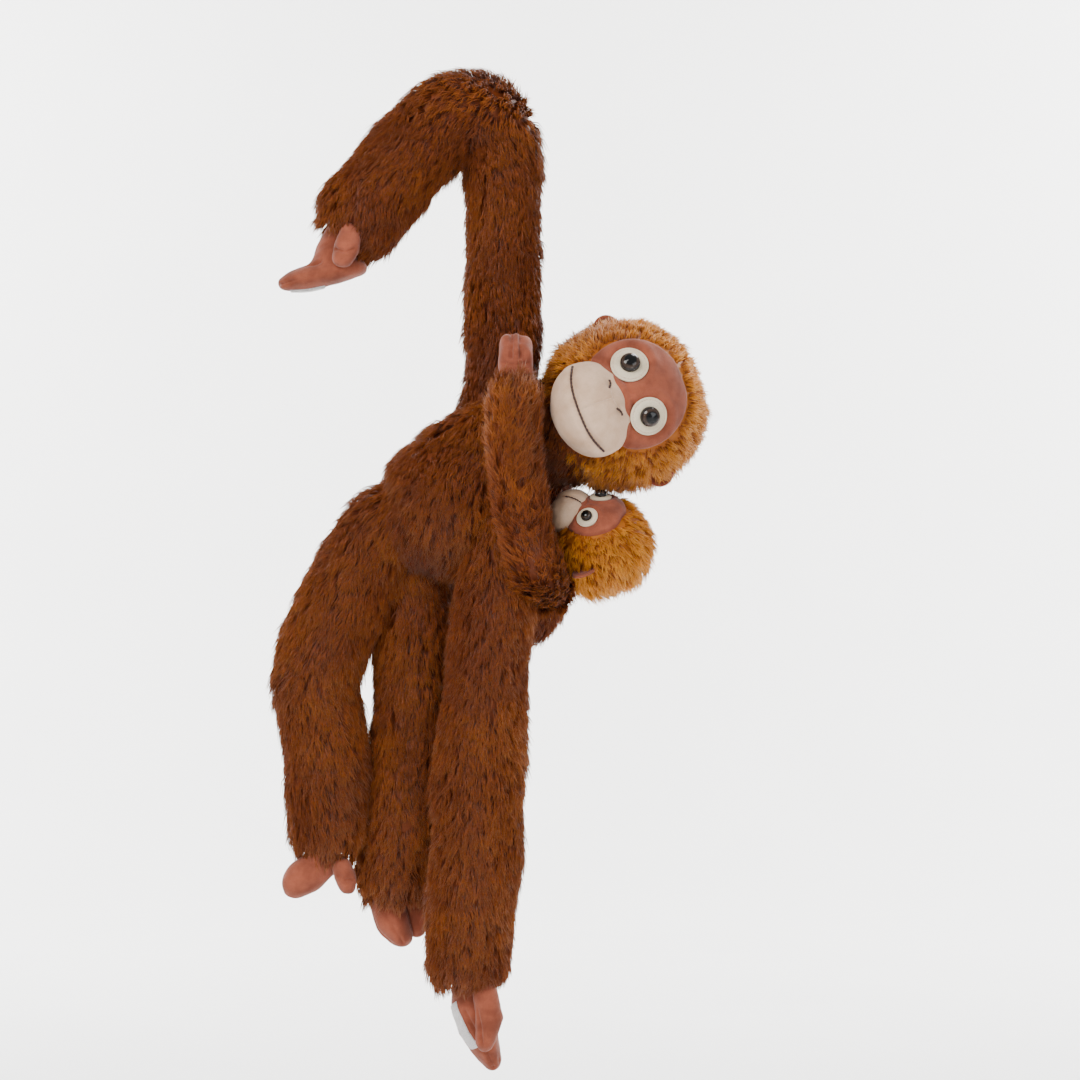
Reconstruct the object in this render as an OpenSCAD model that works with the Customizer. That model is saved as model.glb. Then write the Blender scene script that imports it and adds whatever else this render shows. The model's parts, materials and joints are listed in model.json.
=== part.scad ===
// Long-armed plush ape with a clinging infant, hanging by one arm.
// The origin is the middle of the raised arm's bend, where a hand, hook or bar holds it.
// +X is to the toy's left as seen from the front, +Y is behind it, +Z is up.

/* [Arms and legs] */
// Radius of an arm where it is sewn to the body
arm_root_r = 17; // [15:0.5:18]
// Radius of an upper arm
arm_r = 22; // [19:0.5:23]
// Radius of a forearm at its fullest
forearm_r = 25; // [22:0.5:26]
// Radius of a sleeve where the hand or foot is sewn in
cuff_r = 19; // [16:0.5:20]
// Radius of a leg
leg_r = 22; // [19:0.5:23]
// Radius of the bend of the raised arm, to the middle of the arm
bend_r = 26; // [25:0.5:28]

/* [Body] */
// Radius of the body at the belly
torso_r = 42; // [38:0.5:43]
// Length of the body from its middle to the neck
torso_up = 70; // [66:0.5:72]
// Length of the body from its middle to the hips
torso_down = 49; // [46:0.5:50]

/* [Head] */
// Radius of the head over its fur backing
head_r = 55; // [52:0.5:56]
// Half of the muzzle's width
muzzle_w = 31; // [28:0.5:32]
// Half of the muzzle's height
muzzle_h = 25; // [22:0.5:26]
// Radius of the face panel's outline
face_r = 39; // [36:0.5:40]
// Distance from the face's middle to each eye
eye_side = 19; // [17:0.5:20]
// Radius of the felt ring around an eye
ring_r = 13; // [11.5:0.25:13.5]
// Radius of a plastic eye
eye_r = 7; // [6:0.25:7.5]

/* [Infant] */
// Radius of the infant's head over its fur backing
baby_head_r = 33; // [30:0.5:34]
// Radius of the infant's body
baby_torso_r = 17; // [15:0.5:18]
// Radius of the infant's arm
baby_arm_r = 16; // [14:0.5:16.5]
// Half of the infant's muzzle width
baby_muzzle_w = 17; // [15:0.5:18]
// Half of the infant's muzzle height
baby_muzzle_h = 12; // [11:0.5:13]
// Radius of the infant's plastic eyes
baby_eye_r = 4; // [3.5:0.25:4.5]

/* [Fabric] */
// Thickness of the plush fabric with its flattened pile
pile = 5; // [4:0.5:6]
// Thickness of the short-pile velour on the face
velour = 2; // [1.5:0.25:2.5]

/* [Hidden] */
$fn = 48;
GAP = 0.6;          // clearance that keeps neighbouring moving parts apart
SKIN = 0.1;         // clearance between a cover and what it holds
BALL = 0.8;         // a joint's stuffed ball, as a share of the limb's radius
STALK = 0.75;       // the stalk that carries a ball, as a share of the ball's radius
SHOULDER = 0.7;     // where a limb's rounded end begins, as a share of its radius
BLOB_FN = 20;       // facets of the blobs that hulls join
THREAD_FN = 10;     // facets of a thread
BALL_FN = 36;       // facets of the balls that limbs turn on
PATCH_T = 1.4;      // thickness of the hook tape
CUT = 80;           // how much deeper than its clearance a patch's recess is cut
SEAT = 12;          // distance from the right shoulder's hinge to where its sleeves begin
OVERCUT = 2;        // how far a cutting shape runs past the face that it opens
CUFF_SWELL = 3;     // how much fuller a sleeve is at its cuff than the hand's seam
FUR = [0.62, 0.33, 0.10];
FUR_HEAD = [0.78, 0.46, 0.18];
VELOUR = [0.66, 0.40, 0.34];
CREAM = [0.90, 0.82, 0.72];
FIBRE = [0.95, 0.95, 0.93];
THREAD = [0.24, 0.14, 0.10];
HOOK_TAPE = [0.93, 0.92, 0.92];

// Places of the joints, chosen for the hanging pose. The raised arm bends round the origin in
// an upright plane that leans a little towards the front.
lean = 9;
bend_turn = 140;
bend_end = 118;     // where the bend's full thickness stops, short of the elbow's hinge
core_end = 110;     // where the filling stops in the bend
arm_top = [bend_r * cos(lean), bend_r * sin(lean), 0];
shoulder_r = [arm_top.x, arm_top.y, -122];
elbow_r = bend_r * [cos(bend_turn) * cos(lean), cos(bend_turn) * sin(lean), sin(bend_turn)];
wrist_r = [-84, -15, -61];
shoulder_seam = [25, 1, -206];
torso_c = [-18, -1, -239];
torso_tilt = 54.4;
neck_r = 20;
neck = [109, -8, -178];
head_tilt = 70;
head_yaw = -4;
shoulder_l = [25, -22, -270];
elbow_l = [9, -24, -416];
wrist_l = [1, -26, -572];
hip_r = [-68, -2, -258];
knee_r = [-104, -2, -367];
ankle_r = [-97, -2, -483];
hip_l = [-36, 16, -298];
knee_l = [-38, 14, -405];
ankle_l = [-50, 12, -519];
baby_c = [56, 26, -284];
baby_neck = [94, -11, -275];
baby_tilt = 124;
baby_yaw = -44;
baby_nod = 49;
baby_shoulder_r = [60, 6, -303];
baby_shoulder_l = [66, 38, -268];
baby_hip_r = [58, 20, -312];
baby_hip_l = [62, 38, -308];

// Largest bend of each joint, in degrees, which sets how far its limb ends are coned.
ELBOW = 80;
ELBOW_R = 60;
SHOULDER_SWING = 45;
KNEE = 70;
HIP = 50;
WRIST = 25;

// ---- Shared shapes ----

// Stands the children's +Z along the line from p to q.
module along(p, q) {
    d = q - p;
    translate(p) rotate([0, acos(d.z / norm(d)), atan2(d.y, d.x)]) children();
}

// Outline of a stuffed tube between two hinges, coned at both ends so that it can bend there.
// r is [start, middle, end]; cone is how far each end may bend.
function limb_outline(len, r, cone) =
    let (ka = tan(cone[0] / 2), kb = tan(cone[1] / 2), s = SHOULDER)
    [[0, GAP], [s * r[0], GAP + s * r[0] * ka], [r[0], GAP + r[0] * (ka + 1 - s)],
     [r[1], len * 0.5],
     [r[2], len - GAP - r[2] * (kb + 1 - s)], [s * r[2], len - GAP - s * r[2] * kb], [0, len - GAP]];

// Outline of the filling in such a tube, clear of the balls at both hinges.
function core_outline(len, r, start, end, skin) =
    let (a = r[0] - pile - skin, m = r[1] - pile - skin, b = r[2] - pile - skin, s = SHOULDER)
    [[0, start + skin], [s * a, start + skin], [a, start + skin + (1 - s) * a],
     [m, len * 0.5],
     [b, len - end - skin - (1 - s) * b], [s * b, len - end - skin], [0, len - end - skin]];

// How far a filling keeps from a hinge: past the ball there, or past the cone.
function keep(r, cone) = max(BALL * r, r * tan(cone / 2)) + GAP + pile;

// Fur sleeve from hinge p to hinge q. socket is the radius of the ball that it sits on at p,
// and ball is the radius of the ball that it carries at q; 0 means none.
module sleeve(p, q, r, cone, socket, ball) {
    len = norm(q - p);
    color(FUR) along(p, q) difference() {
        union() {
            rotate_extrude() polygon(limb_outline(len, r, cone));
            if (ball > 0) translate([0, 0, len]) sphere(ball);
        }
        rotate_extrude() polygon(core_outline(len, r, keep(r[0], cone[0]), keep(r[2], cone[1]), 0));
        if (socket > 0) sphere(socket + GAP);
    }
}

// Fibre filling that fits inside a sleeve of the same size.
module stuffing(p, q, r, cone) {
    len = norm(q - p);
    color(FIBRE) along(p, q) rotate_extrude()
        polygon(core_outline(len, r, keep(r[0], cone[0]), keep(r[2], cone[1]), SKIN));
}

// Soft solid through round blobs, each [x, y, z, radius].
module blobs(list) {
    for (i = [0 : len(list) - 2]) hull() {
        blob(list[i]);
        blob(list[i + 1]);
    }
}

module blob(b) {
    translate([b[0], b[1], b[2]]) sphere(b[3], $fn = BLOB_FN);
}

// Mitt made of flattened blobs: each [x, y, z, half width across Y, half thickness], with the
// thickness measured square to the mitt's line, which leans by tilt about Y.
module mitt(list, tilt) {
    for (i = [0 : len(list) - 2]) hull() for (b = [list[i], list[i + 1]])
        translate([b[0], b[1], b[2]]) rotate([0, tilt, 0])
            scale([b[4], b[3], max(b[3], b[4]) * 0.8]) sphere(1, $fn = BLOB_FN);
}

// Stuffed ball that a limb turns on.
module ball(p, r) {
    hull() translate(p) sphere(r, $fn = BALL_FN);
}

// Egg around Z, [radius, length below the middle, length above it].
module egg(r, down, up) {
    rotate_extrude() polygon([for (t = [0 : 10 : 180])
        [t % 180 == 0 ? 0 : r * pow(sin(t), 0.8), -(t < 90 ? down : up) * cos(t)]]);
}

// Thread along a list of points.
module thread(points, r) {
    for (i = [0 : len(points) - 2]) hull() {
        translate(points[i]) sphere(r, $fn = THREAD_FN);
        translate(points[i + 1]) sphere(r, $fn = THREAD_FN);
    }
}

// ---- Raised right arm ----

forearm_r_radii = [arm_r, forearm_r, cuff_r + CUFF_SWELL];

upper_len = norm(shoulder_r - arm_top);

// Straight stretch of the raised arm, from top below the bend to short of the shoulder's hinge.
module upper_arm_r_tube(r, top, short) {
    end = upper_len - short;
    along(arm_top, shoulder_r) rotate_extrude() polygon([
        [0, top], [r, top], [r, end - (1 - SHOULDER) * r], [SHOULDER * r, end], [0, end]]);
}

// Bent stretch of the raised arm, between two angles above the straight stretch.
module bend(r, start, end) {
    rotate([0, 0, lean]) rotate([90, 0, 0]) rotate([0, 0, start])
        rotate_extrude(angle = end - start) translate([bend_r, 0]) circle(r);
}

module upper_arm_r_cover() {
    color(FUR) difference() {
        union() {
            upper_arm_r_tube(arm_r, SKIN, SEAT);
            translate(shoulder_r) sphere(BALL * arm_r);
        }
        upper_arm_r_tube(arm_r - pile, -OVERCUT, 2 * SEAT);
    }
}

module upper_arm_r_filling() {
    color(FIBRE) upper_arm_r_tube(arm_r - pile - SKIN, SKIN, 2 * SEAT + SKIN);
}

module bend_r_cover() {
    color(FUR) difference() {
        union() {
            bend(arm_r, 0, bend_end);
            ball(elbow_r, BALL * arm_r);
        }
        bend(arm_r - pile, -OVERCUT, core_end);
    }
}

module bend_r_filling() {
    color(FIBRE) bend(arm_r - pile - SKIN, 0, core_end - 1);
}

module forearm_r_cover() {
    sleeve(elbow_r, wrist_r, forearm_r_radii, [ELBOW_R, WRIST], BALL * arm_r, 0);
}

module forearm_r_filling() {
    stuffing(elbow_r, wrist_r, forearm_r_radii, [ELBOW_R, WRIST]);
}

// Strip of hook tape at p, turned by tilt about Y. The palm is flat where it is sewn on, and
// its recess in the palm is cut with grow above 0.
module hook_strip(p, tilt, size, grow) {
    translate(p) rotate([0, tilt, 0]) rotate([180, 0, 0]) translate([0, 0, -grow])
        linear_extrude(PATCH_T + CUT * grow) offset(3 + grow) square(size, center = true);
}

module patch_r(grow) {
    hook_strip([-108, -20, -94], 17, [20, 8], grow);
}

hand_r_line = [[-92, -17, -72, 10, 9], [-94, -20, -82, 15, 9], [-126, -21, -92, 12, 6]];
hand_r_tilt = 17;
thumb_r_line = [[-82, -40, -72, 7], [-86, -40, -90, 6.5]];

module hand_r() {
    color(VELOUR) difference() {
        mitt(hand_r_line, hand_r_tilt);
        patch_r(SKIN);
    }
}

module thumb_r() {
    color(VELOUR) blobs(thumb_r_line);
}

module palm_patch_r() {
    color(HOOK_TAPE) patch_r(0);
}

// ---- Body ----

// The body's frame: +Z runs from the hips to the neck.
module torso_frame() {
    translate(torso_c) rotate([0, torso_tilt, 0]) children();
}

shoulder_r_radius = arm_root_r + 4;

module shoulder_r_outer(r) {
    len = norm(shoulder_seam - shoulder_r);
    along(shoulder_r, shoulder_seam) rotate_extrude() polygon([
        [0, BALL * arm_r + GAP], [SHOULDER * r, SEAT], [r, SEAT + (1 - SHOULDER) * r],
        [r, len], [0, len]]);
}

module shoulder_r_cover() {
    color(FUR) difference() {
        shoulder_r_outer(shoulder_r_radius);
        translate(shoulder_r) sphere(BALL * arm_r + GAP);
        torso_frame() egg(torso_r, torso_down, torso_up);
        neck_stub();
    }
}

// Short stuffed neck, from inside the body's upper end to the middle of the head.
module neck_stub() {
    reach = norm(neck - torso_c);
    along(torso_c, neck) translate([0, 0, reach / 3]) cylinder(h = reach * 2 / 3, r = neck_r);
}

// Ball with a stalk that comes out of the body.
module torso_knuckle(p, r) {
    ball(p, r);
    hull() along(torso_c, p) cylinder(h = norm(p - torso_c), r = STALK * r, $fn = BALL_FN);
}

module torso_cover() {
    color(FUR) torso_frame() difference() {
        egg(torso_r, torso_down, torso_up);
        egg(torso_r - pile, torso_down - pile, torso_up - pile);
    }
}

// Neck and limb knuckles, sewn onto the outside of the body's cover.
module torso_stubs() {
    color(FUR) difference() {
        union() {
            neck_stub();
            torso_knuckle(shoulder_l, BALL * arm_root_r);
            torso_knuckle(hip_r, BALL * leg_r);
            torso_knuckle(hip_l, BALL * leg_r);
        }
        torso_frame() egg(torso_r + SKIN, torso_down + SKIN, torso_up + SKIN);
        translate(neck) sphere(head_r + GAP);
    }
}

module torso_filling() {
    color(FIBRE) torso_frame() egg(torso_r - pile - SKIN, torso_down - pile - SKIN,
                                   torso_up - pile - SKIN);
}

// ---- Head ----

// The head's frame: +Z to the crown, -Y out of the face, +X to the toy's own left.
module head_frame() {
    translate(neck) rotate([0, head_tilt, 0]) rotate([0, 0, head_yaw]) children();
}

muzzle_y = 44;
muzzle_z = -22;
face_z = 9;
eye_up = 12.5;
panel_r = head_r + SKIN + velour;
ring_outer = panel_r + SKIN + 1.2;
washer_r = 8;
washer_t = 1.6;
stem_len = 16;
stem_r = 2.2;
ear_r = 10;
ear_y = 4;
ear_z = 6;
mouth_low = 0.38;       // how far the middle of the mouth hangs, as a share of the muzzle's height
mouth_half = 0.84;      // half of the mouth's length, as a share of the muzzle's half width
mouth_step = 0.24;
nostril_up = 0.56;      // height of the nostrils' line, as a share of the muzzle's height
nostril_half = 0.34;    // half of that line's length, as a share of the muzzle's half width
thread_r = 0.8;
mouth_proud = 1.4;      // how far the mouth's thread stands off the muzzle
nostril_proud = 1.2;    // how far the nostrils' thread stands off the muzzle

// Points the children's +Z out of the head through the middle of an eye.
module at_eye(side, up, reach) {
    fwd = sqrt(pow(reach, 2) - pow(side, 2) - pow(up, 2));
    along([0, 0, 0], [side, -fwd, up]) children();
}

// Dome-fronted button with its stem.
module eye_button(base, r, stem, stem_r) {
    translate([0, 0, base]) rotate_extrude() polygon(concat([[0, 0], [r, 0]],
        [for (t = [0 : 15 : 90]) [r * cos(t), 1 + 0.7 * r * sin(t)]]));
    translate([0, 0, base - stem]) cylinder(h = stem + 0.5, r = stem_r);
}

module both_eyes(side, up, reach) {
    for (s = [-1, 1]) at_eye(s * side, up, reach) children();
}

module muzzle_egg(w, h, y, z) {
    translate([0, -y, z]) rotate([0, 90, 0]) rotate_extrude() polygon(
        [for (t = [0 : 7.5 : 180]) [t % 180 == 0 ? 0 : h * sin(t), -w * cos(t)]]);
}

module head_muzzle(skin) {
    muzzle_egg(muzzle_w + skin, muzzle_h + skin, muzzle_y, muzzle_z);
}

module head_stem_holes() {
    both_eyes(eye_side, eye_up, panel_r) translate([0, 0, head_r - pile - stem_len])
        cylinder(h = 2 * stem_len + pile, r = stem_r + 4 * SKIN);
}

module head_cover() {
    color(FUR_HEAD) head_frame() difference() {
        sphere(head_r);
        sphere(head_r - pile);
        head_stem_holes();
    }
}

module head_filling() {
    color(FIBRE) head_frame() difference() {
        sphere(head_r - pile - SKIN);
        both_eyes(eye_side, eye_up, panel_r) translate([0, 0, head_r - pile - stem_len])
            cylinder(h = stem_len + pile, r = washer_r + 1);
    }
}

module face_panel() {
    color(VELOUR) head_frame() difference() {
        intersection() {
            sphere(panel_r);
            translate([0, 0, face_z]) rotate([90, 0, 0]) cylinder(h = 2 * head_r, r = face_r);
        }
        sphere(head_r + SKIN);
        head_muzzle(SKIN);
        head_stem_holes();
    }
}

module muzzle() {
    color(CREAM) head_frame() difference() {
        head_muzzle(0);
        sphere(head_r + SKIN);
    }
}

module eye_rings() {
    color(CREAM) head_frame() difference() {
        intersection() {
            sphere(ring_outer);
            both_eyes(eye_side, eye_up, panel_r) cylinder(h = 2 * head_r, r = ring_r);
        }
        sphere(panel_r + SKIN);
        head_muzzle(SKIN);
        head_stem_holes();
    }
}

module eyes() {
    color([0.05, 0.05, 0.06]) head_frame() both_eyes(eye_side, eye_up, panel_r)
        eye_button(ring_outer + SKIN, eye_r, stem_len, stem_r);
}

module eye_washers() {
    color([0.90, 0.90, 0.90]) head_frame() both_eyes(eye_side, eye_up, panel_r)
        translate([0, 0, head_r - pile - washer_t - 1]) difference() {
            cylinder(h = washer_t, r = washer_r);
            translate([0, 0, -1]) cylinder(h = washer_t + 2, r = stem_r + SKIN);
        }
}

module ear(side, y, z, r) {
    translate([side, y, z]) rotate([90, 0, side > 0 ? 20 : -20]) rotate_extrude() polygon(
        [[0, -1.5], [r - 2, -2.5], [r, -1], [r, 1.5], [r - 2, 2.5], [0, 1.5]]);
}

module ears() {
    color(VELOUR) head_frame() difference() {
        for (s = [-1, 1]) ear(s * (head_r + 3), ear_y, ear_z, ear_r);
        sphere(head_r + SKIN);
    }
}

// Point on the muzzle at a share of its width and height from the muzzle's middle.
function on_muzzle(across, up, w, h, y, z, proud) =
    let (lift = sqrt(max(0, 1 - pow(across, 2) - pow(up, 2))))
    [across * (w + proud), -y - lift * (h + proud), z + up * (h + proud)];

module mouth_stitching() {
    color(THREAD) head_frame() thread([for (a = [-mouth_half : mouth_step : mouth_half + SKIN])
        on_muzzle(a, mouth_low * (pow(abs(a), 3) - 1), muzzle_w, muzzle_h, muzzle_y, muzzle_z,
                  mouth_proud)], thread_r);
}

module nostril_stitching() {
    color(THREAD) head_frame() thread([for (k = [-1 : 0.5 : 1])
        on_muzzle(k * nostril_half, nostril_up + 0.1 * pow(k, 2), muzzle_w, muzzle_h, muzzle_y, muzzle_z,
                  nostril_proud)], thread_r);
}

// ---- Hanging left arm ----

upper_l = [arm_root_r, arm_r, arm_r + 1];
forearm_l_radii = [arm_r + 1, forearm_r, cuff_r + CUFF_SWELL];

module upper_arm_l_cover() {
    sleeve(shoulder_l, elbow_l, upper_l, [SHOULDER_SWING, ELBOW], BALL * arm_root_r, BALL * arm_r);
}

module upper_arm_l_filling() {
    stuffing(shoulder_l, elbow_l, upper_l, [SHOULDER_SWING, ELBOW]);
}

module forearm_l_cover() {
    sleeve(elbow_l, wrist_l, forearm_l_radii, [ELBOW, WRIST], BALL * arm_r, 0);
}

module forearm_l_filling() {
    stuffing(elbow_l, wrist_l, forearm_l_radii, [ELBOW, WRIST]);
}

hand_l_line = [[2, -26, -583, 11, 10], [3, -28, -600, 16, 13], [17, -28, -637, 10, 6]];
hand_l_tilt = -15;
thumb_l_line = [[13, -50, -588, 7.5], [9, -50, -612, 6.5]];

module patch_l(grow) {
    hook_strip([-3, -28, -610], 118, [24, 10], grow);
}

module hand_l() {
    color(VELOUR) difference() {
        mitt(hand_l_line, hand_l_tilt);
        patch_l(SKIN);
    }
}

module thumb_l() {
    color(VELOUR) blobs(thumb_l_line);
}

module palm_patch_l() {
    color(HOOK_TAPE) patch_l(0);
}

// ---- Legs ----

thigh_radii = [leg_r - 2, leg_r + 1, leg_r];
shin_radii = [leg_r, leg_r + 1, cuff_r];
shin_l_radii = [leg_r, leg_r + 2, cuff_r + 2];

module thigh_r_cover() {
    sleeve(hip_r, knee_r, thigh_radii, [HIP, KNEE], BALL * leg_r, BALL * leg_r);
}

module thigh_r_filling() {
    stuffing(hip_r, knee_r, thigh_radii, [HIP, KNEE]);
}

module shin_r_cover() {
    sleeve(knee_r, ankle_r, shin_radii, [KNEE, WRIST], BALL * leg_r, 0);
}

module shin_r_filling() {
    stuffing(knee_r, ankle_r, shin_radii, [KNEE, WRIST]);
}

foot_r_line = [[-97, -2, -494, 11, 9], [-100, -4, -502, 14, 11], [-121, -6, -514, 12, 12]];
foot_r_tilt = 60;
toe_r_line = [[-84, -18, -500, 7], [-82, -20, -510, 6.5]];

module foot_r() {
    color(VELOUR) mitt(foot_r_line, foot_r_tilt);
}

module big_toe_r() {
    color(VELOUR) blobs(toe_r_line);
}

module thigh_l_cover() {
    sleeve(hip_l, knee_l, thigh_radii, [HIP, KNEE], BALL * leg_r, BALL * leg_r);
}

module thigh_l_filling() {
    stuffing(hip_l, knee_l, thigh_radii, [HIP, KNEE]);
}

module shin_l_cover() {
    sleeve(knee_l, ankle_l, shin_l_radii, [KNEE, WRIST], BALL * leg_r, 0);
}

module shin_l_filling() {
    stuffing(knee_l, ankle_l, shin_l_radii, [KNEE, WRIST]);
}

foot_l_line = [[-50, 12, -530, 11, 10], [-49, 10, -538, 13, 13], [-42, 8, -550, 11, 9]];
toe_l_line = [[-28, 20, -528, 6.5], [-28, 20, -540, 6]];

module foot_l() {
    color(VELOUR) mitt(foot_l_line, 0);
}

module big_toe_l() {
    color(VELOUR) blobs(toe_l_line);
}

// ---- Infant ----

module baby_head_frame() {
    translate(baby_neck) rotate([0, baby_tilt, 0]) rotate([0, 0, baby_yaw]) rotate([baby_nod, 0, 0])
        children();
}

baby_pile = 4;
baby_up = 24;
baby_down = 26;
baby_panel_r = baby_head_r + SKIN + 1.5;
baby_ring_outer = baby_panel_r + SKIN + 1;
baby_face_r = 23;
baby_face_z = 6;
baby_ring_r = 7.5;
baby_eye_side = 12;
baby_eye_up = 8;
baby_stem_len = 12;
baby_stem_r = 1.5;
baby_muzzle_y = 28;
baby_muzzle_z = -12;
baby_ear_r = 7;
baby_ear_y = 3;
baby_ear_z = 2;
baby_thread_r = 0.6;
baby_thread_proud = 0.9;

// Middles and radii of the blobs that make the infant's limbs.
baby_arm_r_line = [[60, -8, -305, 11], [60, -24, -306, 12], [53, -52, -284, 14],
                   [39, -60, -232, baby_arm_r], [35, -57, -180, baby_arm_r]];
baby_hand_r_line = [[35, -56, -151, 11.5], [35, -53, -143, 11.5]];
baby_arm_l_line = [[67, 44, -256, 10], [57, 47, -236, 12], [45, 47, -212, 12]];
baby_hand_l_line = [[41, 48, -192, 8], [38, 48, -182, 8]];
baby_leg_r_line = [[55, 20, -324, 11], [42, 26, -332, 11]];
baby_foot_r_line = [[23, 30, -337, 8], [15, 33, -339, 7]];
baby_leg_l_line = [[58, 48, -316, 10], [48, 54, -324, 10]];
baby_foot_l_line = [[31, 58, -329, 7], [24, 59, -331, 7]];

module baby_torso_cover() {
    color(FUR) translate(baby_c) difference() {
        egg(baby_torso_r, baby_down, baby_up);
        egg(baby_torso_r - baby_pile, baby_down - baby_pile, baby_up - baby_pile);
    }
}

module baby_torso_filling() {
    inner = baby_pile + SKIN;
    color(FIBRE) translate(baby_c) egg(baby_torso_r - inner, baby_down - inner, baby_up - inner);
}

module baby_muzzle_form(skin) {
    muzzle_egg(baby_muzzle_w + skin, baby_muzzle_h + skin, baby_muzzle_y, baby_muzzle_z);
}

module baby_stem_holes() {
    both_eyes(baby_eye_side, baby_eye_up, baby_panel_r)
        translate([0, 0, baby_ring_outer - baby_stem_len - 2])
            cylinder(h = 2 * baby_stem_len, r = baby_stem_r + 3 * SKIN);
}

module baby_head_cover() {
    color(FUR_HEAD) baby_head_frame() difference() {
        sphere(baby_head_r);
        sphere(baby_head_r - baby_pile);
        baby_stem_holes();
    }
}

module baby_head_filling() {
    color(FIBRE) baby_head_frame() difference() {
        sphere(baby_head_r - baby_pile - SKIN);
        baby_stem_holes();
    }
}

module baby_face_panel() {
    color(VELOUR) baby_head_frame() difference() {
        intersection() {
            sphere(baby_panel_r);
            translate([0, 0, baby_face_z]) rotate([90, 0, 0])
                cylinder(h = 2 * baby_head_r, r = baby_face_r);
        }
        sphere(baby_head_r + SKIN);
        baby_muzzle_form(SKIN);
        baby_stem_holes();
    }
}

module baby_muzzle() {
    color(CREAM) baby_head_frame() difference() {
        baby_muzzle_form(0);
        sphere(baby_head_r + SKIN);
    }
}

module baby_eye_rings() {
    color(CREAM) baby_head_frame() difference() {
        intersection() {
            sphere(baby_ring_outer);
            both_eyes(baby_eye_side, baby_eye_up, baby_panel_r)
                cylinder(h = 2 * baby_head_r, r = baby_ring_r);
        }
        sphere(baby_panel_r + SKIN);
        baby_muzzle_form(SKIN);
        baby_stem_holes();
    }
}

module baby_eyes() {
    color([0.05, 0.05, 0.06]) baby_head_frame() both_eyes(baby_eye_side, baby_eye_up, baby_panel_r)
        eye_button(baby_ring_outer + SKIN, baby_eye_r, baby_stem_len, baby_stem_r);
}

module baby_ears() {
    color(VELOUR) baby_head_frame() difference() {
        for (s = [-1, 1]) ear(s * (baby_head_r + 1.5), baby_ear_y, baby_ear_z, baby_ear_r);
        sphere(baby_head_r + SKIN);
    }
}

module baby_nose_stitching() {
    color(THREAD) baby_head_frame() thread([for (u = [0.2 : 0.2 : 0.61])
        on_muzzle(0, u, baby_muzzle_w, baby_muzzle_h, baby_muzzle_y, baby_muzzle_z,
                  baby_thread_proud)], baby_thread_r);
}

module baby_arm_r_cover() {
    color(FUR) blobs(baby_arm_r_line);
}

module baby_hand_r() {
    color(VELOUR) blobs(baby_hand_r_line);
}

module baby_arm_l_cover() {
    color(FUR) blobs(baby_arm_l_line);
}

module baby_hand_l() {
    color(VELOUR) blobs(baby_hand_l_line);
}

module baby_leg_r_cover() {
    color(FUR) blobs(baby_leg_r_line);
}

module baby_foot_r() {
    color(VELOUR) blobs(baby_foot_r_line);
}

module baby_leg_l_cover() {
    color(FUR) blobs(baby_leg_l_line);
}

module baby_foot_l() {
    color(VELOUR) blobs(baby_foot_l_line);
}

upper_arm_r_cover();
upper_arm_r_filling();
bend_r_cover();
bend_r_filling();
forearm_r_cover();
forearm_r_filling();
hand_r();
thumb_r();
palm_patch_r();
shoulder_r_cover();
torso_cover();
torso_stubs();
torso_filling();
head_cover();
head_filling();
face_panel();
muzzle();
eye_rings();
eyes();
eye_washers();
ears();
mouth_stitching();
nostril_stitching();
upper_arm_l_cover();
upper_arm_l_filling();
forearm_l_cover();
forearm_l_filling();
hand_l();
thumb_l();
palm_patch_l();
thigh_r_cover();
thigh_r_filling();
shin_r_cover();
shin_r_filling();
foot_r();
big_toe_r();
thigh_l_cover();
thigh_l_filling();
shin_l_cover();
shin_l_filling();
foot_l();
big_toe_l();
baby_torso_cover();
baby_torso_filling();
baby_head_cover();
baby_head_filling();
baby_face_panel();
baby_muzzle();
baby_eye_rings();
baby_eyes();
baby_ears();
baby_nose_stitching();
baby_arm_r_cover();
baby_hand_r();
baby_arm_l_cover();
baby_hand_l();
baby_leg_r_cover();
baby_foot_r();
baby_leg_l_cover();
baby_foot_l();
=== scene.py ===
"""Looks of a plush ape that hangs by one bent arm, an infant clinging to it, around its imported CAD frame."""

import json
import math

import bpy
import numpy as np
from mathutils import Matrix, Vector
from mathutils.bvhtree import BVHTree


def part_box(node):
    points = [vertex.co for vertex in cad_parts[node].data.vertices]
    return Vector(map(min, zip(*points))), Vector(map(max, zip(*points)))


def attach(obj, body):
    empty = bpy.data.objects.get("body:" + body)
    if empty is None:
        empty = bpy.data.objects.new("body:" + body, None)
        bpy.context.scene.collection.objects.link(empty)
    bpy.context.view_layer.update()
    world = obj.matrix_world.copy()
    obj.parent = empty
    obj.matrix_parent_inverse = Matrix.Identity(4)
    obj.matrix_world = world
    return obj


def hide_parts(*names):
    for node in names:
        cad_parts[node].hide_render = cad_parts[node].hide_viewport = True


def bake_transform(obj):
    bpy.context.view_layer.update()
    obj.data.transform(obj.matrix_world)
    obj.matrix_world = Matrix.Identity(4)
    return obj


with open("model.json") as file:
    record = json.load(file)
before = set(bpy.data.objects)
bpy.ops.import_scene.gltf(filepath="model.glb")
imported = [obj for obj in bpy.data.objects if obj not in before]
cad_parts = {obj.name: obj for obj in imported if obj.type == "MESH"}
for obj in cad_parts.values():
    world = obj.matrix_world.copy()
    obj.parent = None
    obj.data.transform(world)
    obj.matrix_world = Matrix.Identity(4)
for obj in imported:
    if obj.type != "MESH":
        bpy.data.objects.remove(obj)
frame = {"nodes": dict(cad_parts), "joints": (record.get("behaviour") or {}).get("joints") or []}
MM = 0.001
UP = np.array([0.0, 0.0, 1.0])
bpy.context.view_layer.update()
SPOT = {j["name"]: np.array(j["pos_m"]) for j in frame["joints"] if "pos_m" in j}


def mm(*values):
    """A point, or points, given in millimetres."""
    return np.array(values) * MM


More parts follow.
